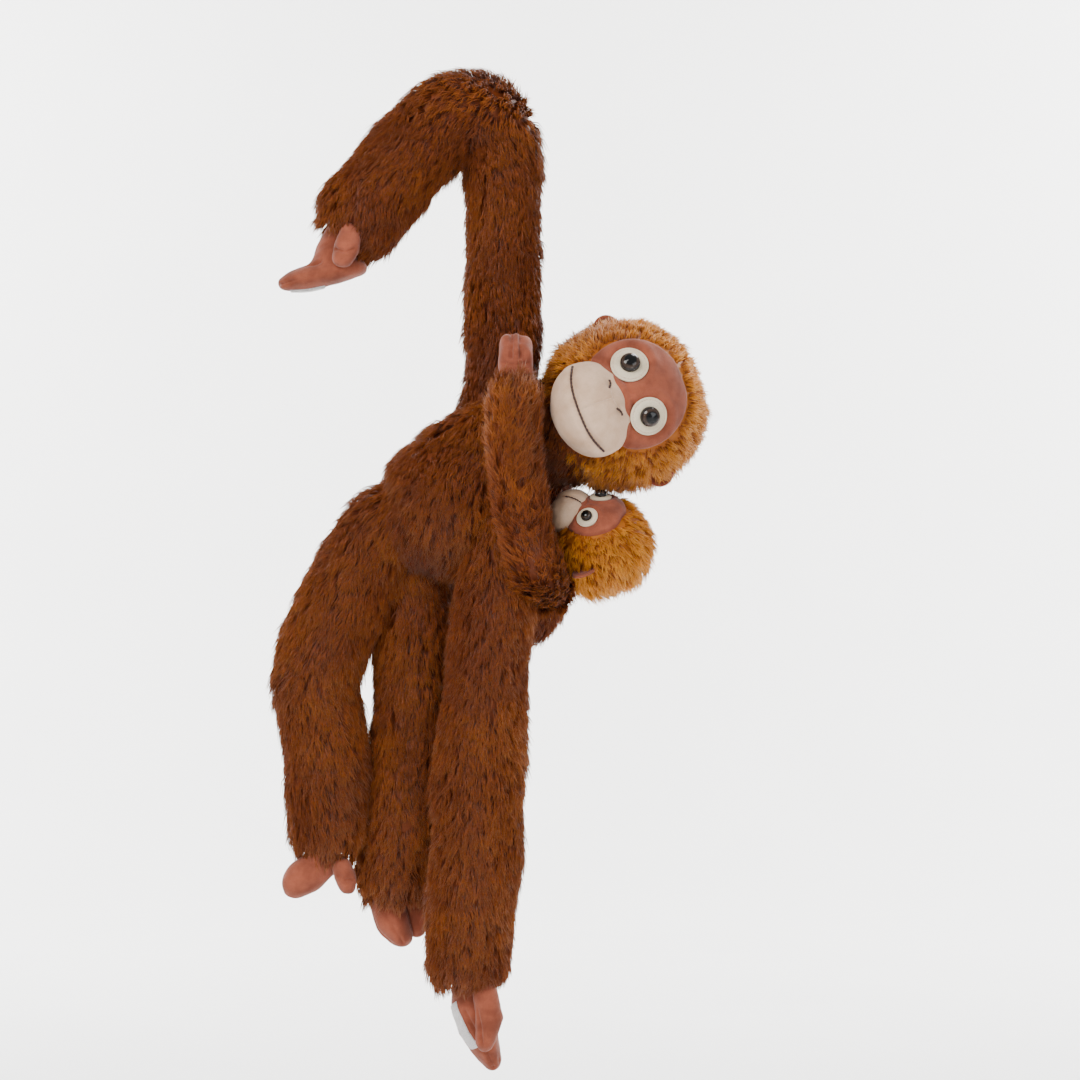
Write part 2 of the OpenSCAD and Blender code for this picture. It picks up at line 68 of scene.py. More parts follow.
def centre(node):
    lo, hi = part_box(node)
    return np.array((lo + hi) / 2)


def unit(v):
    v = np.asarray(v, float)
    return v / np.maximum(np.linalg.norm(v, axis=-1, keepdims=True), 1e-12)


def waves(p, size, seed):
    """Smooth noise of about -1 to 1 at points p, with features of about the given size."""
    r = np.random.default_rng(seed)
    total = np.zeros(len(p))
    for _ in range(7):
        direction = unit(r.normal(size=3)) * 2 * math.pi / (size * r.uniform(1.0, 2.4))
        total += np.sin(p @ direction + r.uniform(0, 6.28))
    return total / 3.2


def gauss(d, width):
    return np.exp(-(d / width) ** 2)


# ---- Materials ----

def new_material(name):
    mat = bpy.data.materials.new(name)
    mat.use_nodes = True
    tree = mat.node_tree
    return mat, tree, tree.nodes["Principled BSDF"]


def ramp(tree, factor, stops):
    node = tree.nodes.new("ShaderNodeValToRGB")
    elements = node.color_ramp.elements
    while len(elements) < len(stops):
        elements.new(0.5)
    for element, (at, colour) in zip(elements, stops):
        element.position = at
        element.color = (*colour, 1)
    tree.links.new(factor, node.inputs["Fac"])
    return node.outputs["Color"]


def noise(tree, scale, detail=4.0, rough=0.55, stretch=(1, 1, 1)):
    """Noise in the object's own coordinates."""
    coords = tree.nodes.new("ShaderNodeTexCoord")
    mapping = tree.nodes.new("ShaderNodeMapping")
    mapping.inputs["Scale"].default_value = stretch
    node = tree.nodes.new("ShaderNodeTexNoise")
    node.inputs["Scale"].default_value = scale
    node.inputs["Detail"].default_value = detail
    node.inputs["Roughness"].default_value = rough
    tree.links.new(coords.outputs["Object"], mapping.inputs["Vector"])
    tree.links.new(mapping.outputs["Vector"], node.inputs["Vector"])
    return node.outputs["Fac"]


def mix(tree, factor, a, b, blend="MIX"):
    node = tree.nodes.new("ShaderNodeMix")
    node.data_type = "RGBA"
    node.blend_type = blend
    for value, socket in ((factor, node.inputs["Factor"]), (a, node.inputs["A"]), (b, node.inputs["B"])):
        if isinstance(value, bpy.types.NodeSocket):
            tree.links.new(value, socket)
        else:
            socket.default_value = value if isinstance(value, float) else (*value, 1)
    return node.outputs["Result"]


def bump(tree, bsdf, layers):
    """Stacks bumps, each (height socket, strength, distance in metres)."""
    last = None
    for height, strength, distance in layers:
        node = tree.nodes.new("ShaderNodeBump")
        node.inputs["Strength"].default_value = strength
        node.inputs["Distance"].default_value = distance
        tree.links.new(height, node.inputs["Height"])
        if last:
            tree.links.new(last, node.inputs["Normal"])
        last = node.outputs["Normal"]
    tree.links.new(last, bsdf.inputs["Normal"])


def fur_material(name, dark, light):
    """Fur: each hair's strip of UV holds its tone across and root to tip upwards, and up the hair the ramps
    run from painted shade at the root through the fur's own colour to a painted highlight at the tip.
    """
    mat, tree, bsdf = new_material(name)
    uv = tree.nodes.new("ShaderNodeUVMap")
    uv.uv_map = "OFBake"
    split = tree.nodes.new("ShaderNodeSeparateXYZ")
    tree.links.new(uv.outputs["UV"], split.inputs["Vector"])
    tone, along = split.outputs["X"], split.outputs["Y"]
    # Root to tip: painted shade low in the pile, painted highlight at the tips.
    low = ramp(tree, along, dark)
    high = ramp(tree, along, light)
    tree.links.new(mix(tree, tone, low, high), bsdf.inputs["Base Color"])
    bsdf.inputs["Roughness"].default_value = 0.55
    bsdf.inputs["Sheen Weight"].default_value = 0.06
    bsdf.inputs["Sheen Roughness"].default_value = 0.4
    bsdf.inputs["Specular IOR Level"].default_value = 0.22
    return mat


def velour_material(name, low, high, pile=0.35, grain=2600.0):
    """Short pile: a fine nap with brushed patches, darker where the nap lies over."""
    mat, tree, bsdf = new_material(name)
    patches = noise(tree, 70.0, 3.0)
    nap = noise(tree, grain, 2.0, 0.7)
    base = ramp(tree, patches, [(0.32, low), (0.68, high)])
    fine = ramp(tree, nap, [(0.3, (0.72, 0.70, 0.70)), (0.7, (1.0, 1.0, 1.0))])
    tree.links.new(mix(tree, 0.8, base, fine, "MULTIPLY"), bsdf.inputs["Base Color"])
    bsdf.inputs["Roughness"].default_value = 0.88
    bsdf.inputs["Sheen Weight"].default_value = 0.16
    bsdf.inputs["Sheen Roughness"].default_value = 0.5
    bsdf.inputs["Specular IOR Level"].default_value = 0.2
    bump(tree, bsdf, [(patches, 0.25, 0.0012), (nap, pile, 0.0004)])
    return mat


def thread_material(name, colour):
    mat, tree, bsdf = new_material(name)
    twist = noise(tree, 900.0, 2.0, 0.6, (1, 1, 3))
    lighter = tuple(min(1.0, c * 1.9 + 0.01) for c in colour)
    tree.links.new(ramp(tree, twist, [(0.35, colour), (0.7, lighter)]), bsdf.inputs["Base Color"])
    bsdf.inputs["Roughness"].default_value = 0.55
    bump(tree, bsdf, [(twist, 0.5, 0.0003)])
    return mat


def plastic_material(name, colour, rough, spread):
    mat, tree, bsdf = new_material(name)
    marks = noise(tree, 300.0, 3.0)
    lighter = tuple(min(1.0, c * 1.3 + 0.01) for c in colour)
    tree.links.new(ramp(tree, marks, [(0.3, colour), (0.8, lighter)]), bsdf.inputs["Base Color"])
    bands = ramp(tree, marks, [(0.3, (rough,) * 3), (0.8, (rough + spread,) * 3)])
    tree.links.new(bands, bsdf.inputs["Roughness"])
    return mat


def hook_material(name):
    """Woven tape with fine rows of hooks."""
    mat, tree, bsdf = new_material(name)
    rows = noise(tree, 2200.0, 1.0, 0.5, (1, 1, 0.5))
    loops = noise(tree, 5200.0, 1.0)
    tree.links.new(ramp(tree, rows, [(0.3, (0.42, 0.39, 0.38)), (0.62, (0.70, 0.67, 0.66))]),
                   bsdf.inputs["Base Color"])
    bsdf.inputs["Roughness"].default_value = 0.6
    bump(tree, bsdf, [(rows, 0.7, 0.0006), (loops, 0.5, 0.0004)])
    return mat


# Ramps from root to tip: the dark roots are painted shade, the golden tips are a painted highlight, and the
# middle stops are the fur's own colour.
FUR = fur_material(
    "fur",
    [(0.0, (0.044, 0.0068, 0.0005)), (0.35, (0.098, 0.0172, 0.0010)), (0.75, (0.150, 0.0290, 0.0014)),
     (1.0, (0.200, 0.0440, 0.0025))],
    [(0.0, (0.055, 0.0092, 0.0005)), (0.35, (0.135, 0.0262, 0.0013)), (0.75, (0.270, 0.0660, 0.0034)),
     (1.0, (0.480, 0.1600, 0.0140))])
# Lighter head fur, with the same painted shade at the roots and painted highlight at the tips.
FUR_HEAD = fur_material(
    "fur_head",
    [(0.0, (0.120, 0.0240, 0.0010)), (0.35, (0.260, 0.0660, 0.0026)), (0.75, (0.420, 0.1260, 0.0052)),
     (1.0, (0.540, 0.1850, 0.0100))],
    [(0.0, (0.190, 0.0400, 0.0016)), (0.35, (0.450, 0.1380, 0.0062)), (0.75, (0.740, 0.2850, 0.0150)),
     (1.0, (0.880, 0.4100, 0.0380))])
VELOUR = velour_material("velour", (0.180, 0.044, 0.021), (0.330, 0.086, 0.044))
CREAM = velour_material("cream_velour", (0.56, 0.355, 0.225), (0.72, 0.500, 0.345), 0.45)
FELT = velour_material("felt", (0.66, 0.54, 0.37), (0.80, 0.69, 0.51), 0.5, 1800.0)
THREAD = thread_material("thread", (0.030, 0.011, 0.007))
SEAM_THREAD = thread_material("seam_thread", (0.42, 0.30, 0.22))
WASHER = plastic_material("washer_plastic", (0.70, 0.70, 0.68), 0.45, 0.1)
HOOK = hook_material("hook_tape")


# ---- Meshes ----

def mesh_object(name, verts, faces, uvs=None):
    """Mesh from numpy. faces is a list of (m, k) index arrays, and uvs holds one (m, k, 2) array for each."""
    me = bpy.data.meshes.new(name)
    me.vertices.add(len(verts))
    me.vertices.foreach_set("co", np.asarray(verts, np.float32).ravel())
    loops = np.concatenate([f.ravel() for f in faces]).astype(np.int32)
    totals = np.concatenate([np.full(len(f), f.shape[1]) for f in faces])
    starts = np.concatenate([[0], np.cumsum(totals)[:-1]]).astype(np.int32)
    me.loops.add(len(loops))
    me.loops.foreach_set("vertex_index", loops)
    me.polygons.add(len(totals))
    me.polygons.foreach_set("loop_start", starts)
    me.update(calc_edges=True)
    if uvs is not None:
        layer = me.uv_layers.new(name="OFBake")
        layer.data.foreach_set("uv", np.concatenate([u.reshape(-1) for u in uvs]).astype(np.float32))
    me.polygons.foreach_set("use_smooth", np.ones(len(totals), bool))
    obj = bpy.data.objects.new(name, me)
    bpy.context.scene.collection.objects.link(obj)
    return obj


def paint(obj, mat):
    obj.data.materials.clear()
    obj.data.materials.append(mat)
    return obj


def vertices(obj):
    co = np.empty(len(obj.data.vertices) * 3, np.float32)
    obj.data.vertices.foreach_get("co", co)
    return co.reshape(-1, 3).astype(float)


def tree_of(obj):
    """The mesh as a tree that finds nearest points and where rays hit."""
    return BVHTree.FromPolygons([v.co.copy() for v in obj.data.vertices],
                                [tuple(f.vertices) for f in obj.data.polygons])


def grid_quads(rows, columns, first=0, closed=True):
    """Quads between neighbouring rows of vertices, each row a closed ring unless told otherwise."""
    i = first + np.arange(rows - 1)[:, None] * columns
    j = np.arange(columns if closed else columns - 1)[None]
    k = (j + 1) % columns
    return np.stack([i + j, i + columns + j, i + columns + k, i + k], -1).reshape(-1, 4)


# ---- Fur ----

class Tube:
    """A stuffed tube along a smooth line, with its own radius at each place, all in metres."""

    def __init__(self, points, radii, step=0.003):
        points = np.asarray(points, float)
        ends = np.vstack([2 * points[0] - points[1], points, 2 * points[-1] - points[-2]])
        fine, fine_r = [], []
        for i in range(1, len(points)):
            p0, p1, p2, p3 = ends[i - 1:i + 3]
            for t in np.linspace(0, 1, 24, endpoint=False):
                fine.append(0.5 * (2 * p1 + (p2 - p0) * t + (2 * p0 - 5 * p1 + 4 * p2 - p3) * t * t
                                   + (3 * p1 - p0 - 3 * p2 + p3) * t ** 3))
                ease = t * t * (3 - 2 * t)
                fine_r.append(radii[i - 1] * (1 - ease) + radii[i] * ease)
        fine.append(points[-1])
        fine_r.append(radii[-1])
        fine = np.array(fine)
        length = np.concatenate([[0], np.cumsum(np.linalg.norm(np.diff(fine, axis=0), axis=1))])
        self.length = length[-1]
        self.n = max(6, int(self.length / step))
        at = np.linspace(0, self.length, self.n)
        self.c = np.stack([np.interp(at, length, fine[:, k]) for k in range(3)], 1)
        self.r = np.interp(at, length, fine_r)
        self.t = unit(np.gradient(self.c, axis=0))
        self.slope = np.gradient(self.r) / np.gradient(at)
        side = unit(np.cross(self.t[0], [0.31, 0.9, 0.17]))
        frames = []
        for t in self.t:
            side = unit(side - t * (side @ t))
            frames.append(side)
        self.e1 = np.array(frames)
        self.e2 = np.cross(self.t, self.e1)

    def at(self, s, phi, lump=0.03, seed=1):
        """(point, outward normal, direction along) at shares s of the length and angles phi."""
        x = np.clip(s, 0, 1) * (self.n - 1)
        i = np.minimum(x.astype(int), self.n - 2)
        f = (x - i)[:, None]

        def get(a):
            part = f if a.ndim > 1 else f[:, 0]
            return a[i] * (1 - part) + a[i + 1] * part

        c, t, e1, e2 = get(self.c), unit(get(self.t)), unit(get(self.e1)), unit(get(self.e2))
        radial = e1 * np.cos(phi)[:, None] + e2 * np.sin(phi)[:, None]
        r = get(self.r)
        p = c + radial * r[:, None]
        p = p + radial * (r * lump * waves(p, 0.035, seed))[:, None]
        normal = unit(radial - t * np.clip(get(self.slope), -3, 3)[:, None])
        along = unit(t - normal * (t * normal).sum(1, keepdims=True))
        return p, normal, along

    def share(self, point):
        """Share of the length nearest to a point."""
        return float(np.argmin(np.linalg.norm(self.c - np.asarray(point), axis=1)) / (self.n - 1))


def tone_at(p, seed, bias):
    return np.clip(0.42 + bias + 0.30 * waves(p, 0.05, seed) + 0.16 * waves(p, 0.016, seed + 1), 0.03, 0.9)


UV_WIDE = 0.004    # width of one hair's strip of UV


def uv_strip(tone, corners):
    """UV of faces that all have the same corners, each corner (step across, root to tip)."""
    return np.stack([np.stack([tone + step, np.full(len(tone), v)], 1) for step, v in corners], 1)


# The backing's low and high pick the dark stretch of the fur ramps near the roots: painted shade.
BACKING = {"bias": -0.1, "low": 0.30, "high": 0.36, "step": 0.004, "around": 36, "lap": 0.004}


def fur_skin(tube, s0, s1, seed):
    """Closed backing under the fur between shares s0 and s1 of the tube, as dark as the hairs low down, so
    painted shade.
    """
    low, high, around = BACKING["low"], BACKING["high"], BACKING["around"]
    rings = max(3, int((s1 - s0) * tube.length / BACKING["step"]))
    s = np.repeat(np.linspace(s0, s1, rings), around)
    phi = np.tile(np.linspace(0, 2 * math.pi, around, endpoint=False), rings)
    p, _, _ = tube.at(s, phi, seed=seed)
    quads = np.roll(grid_quads(rings, around)[:, ::-1], 1, axis=1)
    caps = [p[:around].mean(0), p[-around:].mean(0)]
    verts = np.vstack([p, caps])
    last = rings * around
    ring = np.arange(around)
    nxt = (ring + 1) % around
    start = np.stack([np.full(around, last), nxt, ring], 1)
    end = np.stack([np.full(around, last + 1), ring + last - around, nxt + last - around], 1)
    tris = np.vstack([start, end])
    u = tone_at(p[quads[:, 0]], seed, BACKING["bias"])
    quad_uv = uv_strip(u, [(0, low), (UV_WIDE, low), (UV_WIDE, high), (0, high)])
    tri_uv = np.tile(np.array([[0.3, low], [0.304, low], [0.302, high]]), (len(tris), 1, 1))
    return verts, quads, tris, quad_uv, tri_uv


def hairs(root, normal, along, length, width, tone, gather, lift, droop, seed):
    """Thin tapered hairs in locks. All arrays have a row for each lock, and the hairs' mesh comes back."""
    r = np.random.default_rng(seed)
    locks, per = len(root), gather["hairs"]
    side = np.cross(normal, along)
    angle = r.uniform(0, 2 * math.pi, (locks, per))
    reach = np.sqrt(r.uniform(0, 1, (locks, per))) * gather["radius"]
    du, dv = reach * np.cos(angle), reach * np.sin(angle)
    base = root[:, None] + side[:, None] * du[..., None] + along[:, None] * dv[..., None] \
        - normal[:, None] * 0.0012
    long = length[:, None] * r.uniform(0.72, 1.12, (locks, per))
    out = np.clip(lift[:, None] + r.normal(0, 0.10, (locks, per)), 0.05, 1.5)
    start = along[:, None] * np.cos(out)[..., None] + normal[:, None] * np.sin(out)[..., None]
    start = start + side[:, None] * r.normal(0, 0.10, (locks, per))[..., None]
    curl = r.normal(0, 0.16, (locks, per)) + r.normal(0, 0.2, (locks, 1))
    end = start - normal[:, None] * (0.55 * np.sin(out))[..., None] + side[:, None] * curl[..., None]
    end = end - UP * droop[:, None, None]
    middle = base + unit(start) * (long * 0.5)[..., None]
    tip = middle + unit(end) * (long * 0.5)[..., None]
    pull = gather["pull"]
    inward = side[:, None] * du[..., None] + along[:, None] * dv[..., None]
    middle = middle - inward * (pull * 0.45)
    tip = tip - inward * pull
    n = locks * per
    base, middle, tip = base.reshape(n, 3), middle.reshape(n, 3), tip.reshape(n, 3)
    d = unit(middle - base)
    up = np.repeat(normal, per, 0)
    b = unit(np.cross(d, up))
    up = np.cross(b, d)
    w = np.repeat(width, per) * r.uniform(0.75, 1.25, n)
    corners = [b * 0.5, up * 0.55, -b * 0.5]
    verts = np.empty((n, 7, 3))
    for k, c in enumerate(corners):
        verts[:, k] = base + c * w[:, None]
        verts[:, 3 + k] = middle + c * (w * 0.72)[:, None]
    verts[:, 6] = tip
    first = (np.arange(n) * 7)[:, None]
    quads = np.concatenate([first + np.array(q) for q in ([0, 1, 4, 3], [1, 2, 5, 4], [2, 0, 3, 5])])
    tris = np.concatenate([first + np.array(t) for t in ([3, 4, 6], [4, 5, 6], [5, 3, 6])])
    u = np.clip(np.repeat(tone, per) + r.normal(0, 0.10, n), 0.01, 0.985)
    # Root, middle and tip on the ramps: painted shade at the root, painted highlight at the tip.
    v0, v1, v2 = 0.06, 0.52, 0.98
    quad_uv = np.concatenate([uv_strip(u, [(0, v0), (UV_WIDE, v0), (UV_WIDE, v1), (0, v1)])] * 3)
    tri_uv = np.concatenate([uv_strip(u, [(0, v1), (UV_WIDE, v1), (UV_WIDE / 2, v2)])] * 3)
    return verts.reshape(-1, 3), quads, tris, quad_uv, tri_uv


def join_arrays(first, second):
    """Two meshes' vertices, quads, triangles and their UVs, as one mesh's."""
    moved = (0, len(first[0]), len(first[0]), 0, 0)
    return [np.vstack([a, b + step]) for a, b, step in zip(first, second, moved)]


DENSITY = 0.086 / MM ** 2 * 1.0    # locks in a square metre of backing
GATHER = {"hairs": 9, "radius": 0.0025, "pull": 0.58}
GOLDEN_ANGLE = 2.399963


def fur(tube, cuts, style, seed, keep=None):
    """Furry pieces along one tube. cuts is a list of (name, s0, s1), and style holds the fur's look:
    length (m), lift (radians off the backing), width, bias of tone, droop, comb(p, normal, along),
    shape(p, length, lift), gather of the locks, and head for the lighter fur."""
    stretch = np.sqrt(1 + np.clip(tube.slope, -3, 3) ** 2)
    area = np.cumsum(2 * math.pi * tube.r * tube.length / tube.n * stretch)
    count = int(area[-1] * DENSITY)
    r = np.random.default_rng(seed)
    pick = (np.arange(count) + r.uniform(0.2, 0.8, count)) / count * area[-1]
    s = np.interp(pick, np.concatenate([[0], area]), np.linspace(0, 1, tube.n + 1))
    phi = np.arange(count) * GOLDEN_ANGLE + r.normal(0, 0.25, count)
    p, normal, along = tube.at(s, phi, seed=seed)
    comb = style.get("comb")
    if comb:
        along = comb(p, normal, along)
        along = unit(along - normal * (along * normal).sum(1, keepdims=True))
    swirl = waves(p, 0.045, seed + 5) * 0.30 + r.normal(0, 0.16, count)
    side = np.cross(normal, along)
    along = unit(along + side * swirl[:, None])
    length = style["length"] * (1 + 0.18 * waves(p, 0.03, seed + 6)) * r.uniform(0.85, 1.15, count)
    lift = np.clip(style["lift"] + 0.14 * waves(p, 0.028, seed + 7) + r.normal(0, 0.08, count), 0.12, 1.4)
    bias = style.get("bias", 0.0)
    bias = bias(p) if callable(bias) else np.full(count, bias)
    tone = np.clip(tone_at(p, seed + 2, bias) + r.normal(0, 0.10, count), 0.02, 0.95)
    width = np.full(count, style.get("width", 0.0011))
    droop = np.full(count, style.get("droop", 0.35))
    if "shape" in style:
        length, lift = style["shape"](p, length, lift)
    good = np.ones(count, bool) if keep is None else keep(p)
    made = {}
    for k, (name, s0, s1) in enumerate(cuts):
        inside = good & (s >= s0) & (s < s1 if s1 < 1 else s <= 1)
        lap = BACKING["lap"] / tube.length
        skin = fur_skin(tube, max(0, s0 - lap), min(1, s1 + lap), seed)
        gather = dict(GATHER, **style.get("gather", {}))
        coat = hairs(p[inside], normal[inside], along[inside], length[inside], width[inside], tone[inside],
                     gather, lift[inside], droop[inside], seed * 31 + k)
        verts, quads, tris, quv, tuv = join_arrays(skin, coat)
        obj = mesh_object(name, verts, [quads, tris], [quv, tuv])
        head = style.get("head", False)
        paint(obj, FUR_HEAD if head else FUR)
        made[name] = obj
    return made


def towards(*direction):
    """Combs the fur partly towards a direction."""
    return lambda p, normal, along: along + np.array(direction, float)


def blend_over(obj):
    """Bakes a sleeve's world placement into its mesh."""
    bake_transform(obj)


LONG = {"length": 0.0135, "lift": 0.52, "comb": towards(0, 0, -0.8)}
LIMB_LONG = dict(LONG, gather={"radius": 0.0027})

# Raised right arm: from the body up over the bend, then down the forearm to the cuff.
elbow, wrist = SPOT["elbow_r"], SPOT["wrist_r"]
shoulder = SPOT["shoulder_r"]
bend_r = np.linalg.norm(elbow)
arm_top = np.array([shoulder[0], shoulder[1], 0.0])
arc = [bend_r * (math.cos(a) * unit(arm_top) + math.sin(a) * UP) for a in np.radians([35, 70, 105, 140])]
upright = arm_top + [0, 0, -0.06]
arm = Tube([shoulder + [-0.010, -0.002, -0.085], shoulder + [-0.003, 0, -0.045], shoulder, upright, arm_top,
            *arc, (elbow + wrist) / 2 + [-0.002, 0, 0.001], wrist * 0.82 + elbow * 0.18, wrist],
           [0.024, 0.022, 0.0235, 0.0235, 0.0235, 0.024, 0.0255, 0.027, 0.0275, 0.029, 0.0285, 0.022])
s_mid = arm.share(upright)
s_fore = arm.share((elbow + wrist) / 2) + 0.02


def comb_arm_r(p, normal, along):
    """Down the forearm beyond the bend and down the upright stretch too, so against the tube there."""
    rising = 1 / (1 + np.exp(-(p[:, 0] - 0.004) / 0.008)) / (1 + np.exp((p[:, 2] - 0.020) / 0.009))
    return along * (1 - 2 * rising)[:, None] + UP * -0.5 + np.array([0.0, -0.35, 0.0])


def crown_arm_r(p, length, lift):
    """Stands the pile up where it parts over the bend."""
    near = gauss(np.linalg.norm(p - np.array([0.022, 0.0, 0.030]), axis=1), 0.034)
    return length * (1 + 0.10 * near), lift + 0.50 * near


arm_style = dict(LIMB_LONG, comb=comb_arm_r, shape=crown_arm_r,
                 bias=lambda p: -0.06 - 0.08 / (1 + np.exp(-(p[:, 0] - 0.004) / 0.010)))
arm_cuts = [("plush_shoulder_r", 0, s_mid), ("plush_bend_r", s_mid, s_fore), ("plush_forearm_r", s_fore, 1)]
sleeve, bend, forearm = fur(arm, arm_cuts, arm_style, 11).values()
blend_over(sleeve)
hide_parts("shoulder_r_cover")
blend_over(bend)
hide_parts("upper_arm_r_cover", "upper_arm_r_filling", "bend_r_cover", "bend_r_filling")
blend_over(forearm)
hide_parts("forearm_r_cover", "forearm_r_filling")

# Body, as a tube from the hips to the neck.
torso_mid = centre("torso_filling")
body_ends = vertices(frame["nodes"]["torso_filling"])
spread = body_ends - body_ends.mean(0)
axis = np.linalg.eigh(spread.T @ spread)[1][:, -1]
axis = axis * np.sign(axis[0])
low = torso_mid + axis * (spread @ axis).min() * 1.09
high = torso_mid + axis * (spread @ axis).max() * 1.02
neck = SPOT["neck"]
body = Tube([low, low + axis * 0.012 - UP * 0.004, low + axis * 0.036 - UP * 0.009, torso_mid - UP * 0.009,
             torso_mid + axis * 0.030 - UP * 0.002, high * 0.5 + torso_mid * 0.2 + neck * 0.3,
             high * 0.35 + neck * 0.65 - UP * 0.007],
            [0.006, 0.031, 0.045, 0.047, 0.040, 0.033, 0.033])


def belly_bias(p):
    """Golden on the belly's underside, darker on the back."""
    under = np.clip((-0.235 - p[:, 2]) / 0.05, 0, 1) * np.clip((p[:, 0] + 0.03) / 0.04, 0, 1)
    return 0.22 * under - 0.04


body_fur = fur(body, [("plush_body", 0, 1)], dict(LONG, length=0.0145, bias=belly_bias,
               comb=lambda p, n, a: UP * -1.0 - a * 0.45), 23)["plush_body"]
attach(body_fur, "torso")
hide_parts("torso_cover", "torso_stubs", "torso_filling")


def limb(prefix, points, radii, style, seed, joints, bodies):
    """A hanging limb in three pieces, each across one joint. bodies run from above the first joint down."""
    tube = Tube(points, radii)
    at = [tube.share(SPOT[j]) for j in joints]
    cuts = [0, (at[0] + at[1]) / 2, at[1] * 0.35 + at[2] * 0.65, 1]
    names = [f"{prefix}_{k}" for k in ("top", "middle", "cuff")]
    made = fur(tube, list(zip(names, cuts[:-1], cuts[1:])), style, seed)
    for name, joint, above, below in zip(names, joints, bodies[:-1], bodies[1:]):
        cuff = name.endswith("cuff")
        blend_over(made[name])
        if not cuff:
            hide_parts(f"{below}_cover", f"{below}_filling")


sl, el, wl = SPOT["shoulder_l"], SPOT["elbow_l"], SPOT["wrist_l"]
limb("plush_arm_l", [sl + [-0.004, 0.010, 0.034], sl, sl * 0.5 + el * 0.5 + [0.001, 0, 0], el + [0.001, 0, 0],
                     el * 0.5 + wl * 0.5 + [0.003, 0, 0.01], wl + [0.001, 0, 0.012], wl + [0.001, 0, -0.004]],
     [0.020, 0.024, 0.0255, 0.0275, 0.029, 0.0270, 0.022], dict(LIMB_LONG, length=0.0142), 37,
     ("shoulder_l", "elbow_l", "wrist_l"), ("torso", "upper_arm_l", "forearm_l", "hand_l"))
hr, kr, ar = SPOT["hip_r"], SPOT["knee_r"], SPOT["ankle_r"]
limb("plush_leg_r", [hr + [0.034, 0, 0.004], hr + [0.010, 0, -0.006], hr * 0.5 + kr * 0.5 + [0.002, 0, 0], kr,
                     kr * 0.5 + ar * 0.5 + [0.003, 0, 0], ar + [0.001, 0, 0.012], ar + [0, 0, -0.004]],
     [0.020, 0.025, 0.0285, 0.0275, 0.0275, 0.0240, 0.019], dict(LIMB_LONG, length=0.0150), 41,
     ("hip_r", "knee_r", "ankle_r"), ("torso", "thigh_r", "shin_r", "foot_r"))
hl, kl, al = SPOT["hip_l"], SPOT["knee_l"], SPOT["ankle_l"]
limb("plush_leg_l", [hl + [0.010, -0.008, 0.030], hl, hl * 0.5 + kl * 0.5, kl, kl * 0.5 + al * 0.5,
                     al + [0.001, 0, 0.014], al + [0, 0, -0.004]],
     [0.020, 0.025, 0.026, 0.0255, 0.028, 0.0265, 0.021], dict(LIMB_LONG, length=0.0142, bias=-0.05), 43,
     ("hip_l", "knee_l", "ankle_l"), ("torso", "thigh_l", "shin_l", "foot_l"))


# ---- Heads ----

class Head:
    """A head's own axes, from its centre, eyes and muzzle: to its left, out of its face, to its crown."""

    def __init__(self, joint, prefix, look):
        lo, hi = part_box(prefix + "head_cover")
        self.c = SPOT[joint]
        self.radius = max(hi - lo) / 2 / MM
        eyes = unit(vertices(frame["nodes"][prefix + "eyes"]).mean(0) - self.c)
        down = centre(prefix + "muzzle") - self.c
        up = -unit(down - eyes * (down @ eyes))
        reach = self.radius + look["panel"]
        rise = math.atan2(look["eye_up"], math.sqrt(reach ** 2 - look["eye_side"] ** 2 - look["eye_up"] ** 2))
        self.fwd = eyes * math.cos(rise) - up * math.sin(rise)
        self.up = eyes * math.sin(rise) + up * math.cos(rise)
        self.left = np.cross(self.fwd, self.up) * -1

    def world(self, q):
        """World points of local ones, in millimetres."""
        q = np.asarray(q, float) * MM
        return self.c + q[..., :1] * self.left + q[..., 1:2] * self.fwd + q[..., 2:] * self.up

    def local(self, p):
        return np.stack([(p - self.c) @ self.left, (p - self.c) @ self.fwd, (p - self.c) @ self.up], -1) / MM

    def on_ball(self, x, z, r):
        """Local point at x, z in front view on a ball of radius r."""
        return np.stack([x, np.sqrt(np.maximum(r * r - x * x - z * z, 0)), z], -1)


def polar_faces(rings, around):
    """Quads and closing triangles of a grid of rings about a middle vertex, which is vertex 0."""
    ring = np.arange(around)
    tris = np.stack([np.zeros(around, int), 1 + ring, 1 + (ring + 1) % around], 1)
    return grid_quads(rings, around, first=1), tris


def patch(name, place, rings, around):
    """Sewn-on panel: place(k, angle) gives world points, k running from its middle to its tucked-in edge."""
    k = np.concatenate([[0.0], np.repeat(np.linspace(1 / rings, 1, rings), around)])
    angle = np.concatenate([[0.0], np.tile(np.linspace(0, 2 * math.pi, around, endpoint=False), rings)])
    return mesh_object(name, place(k, angle), polar_faces(rings, around))


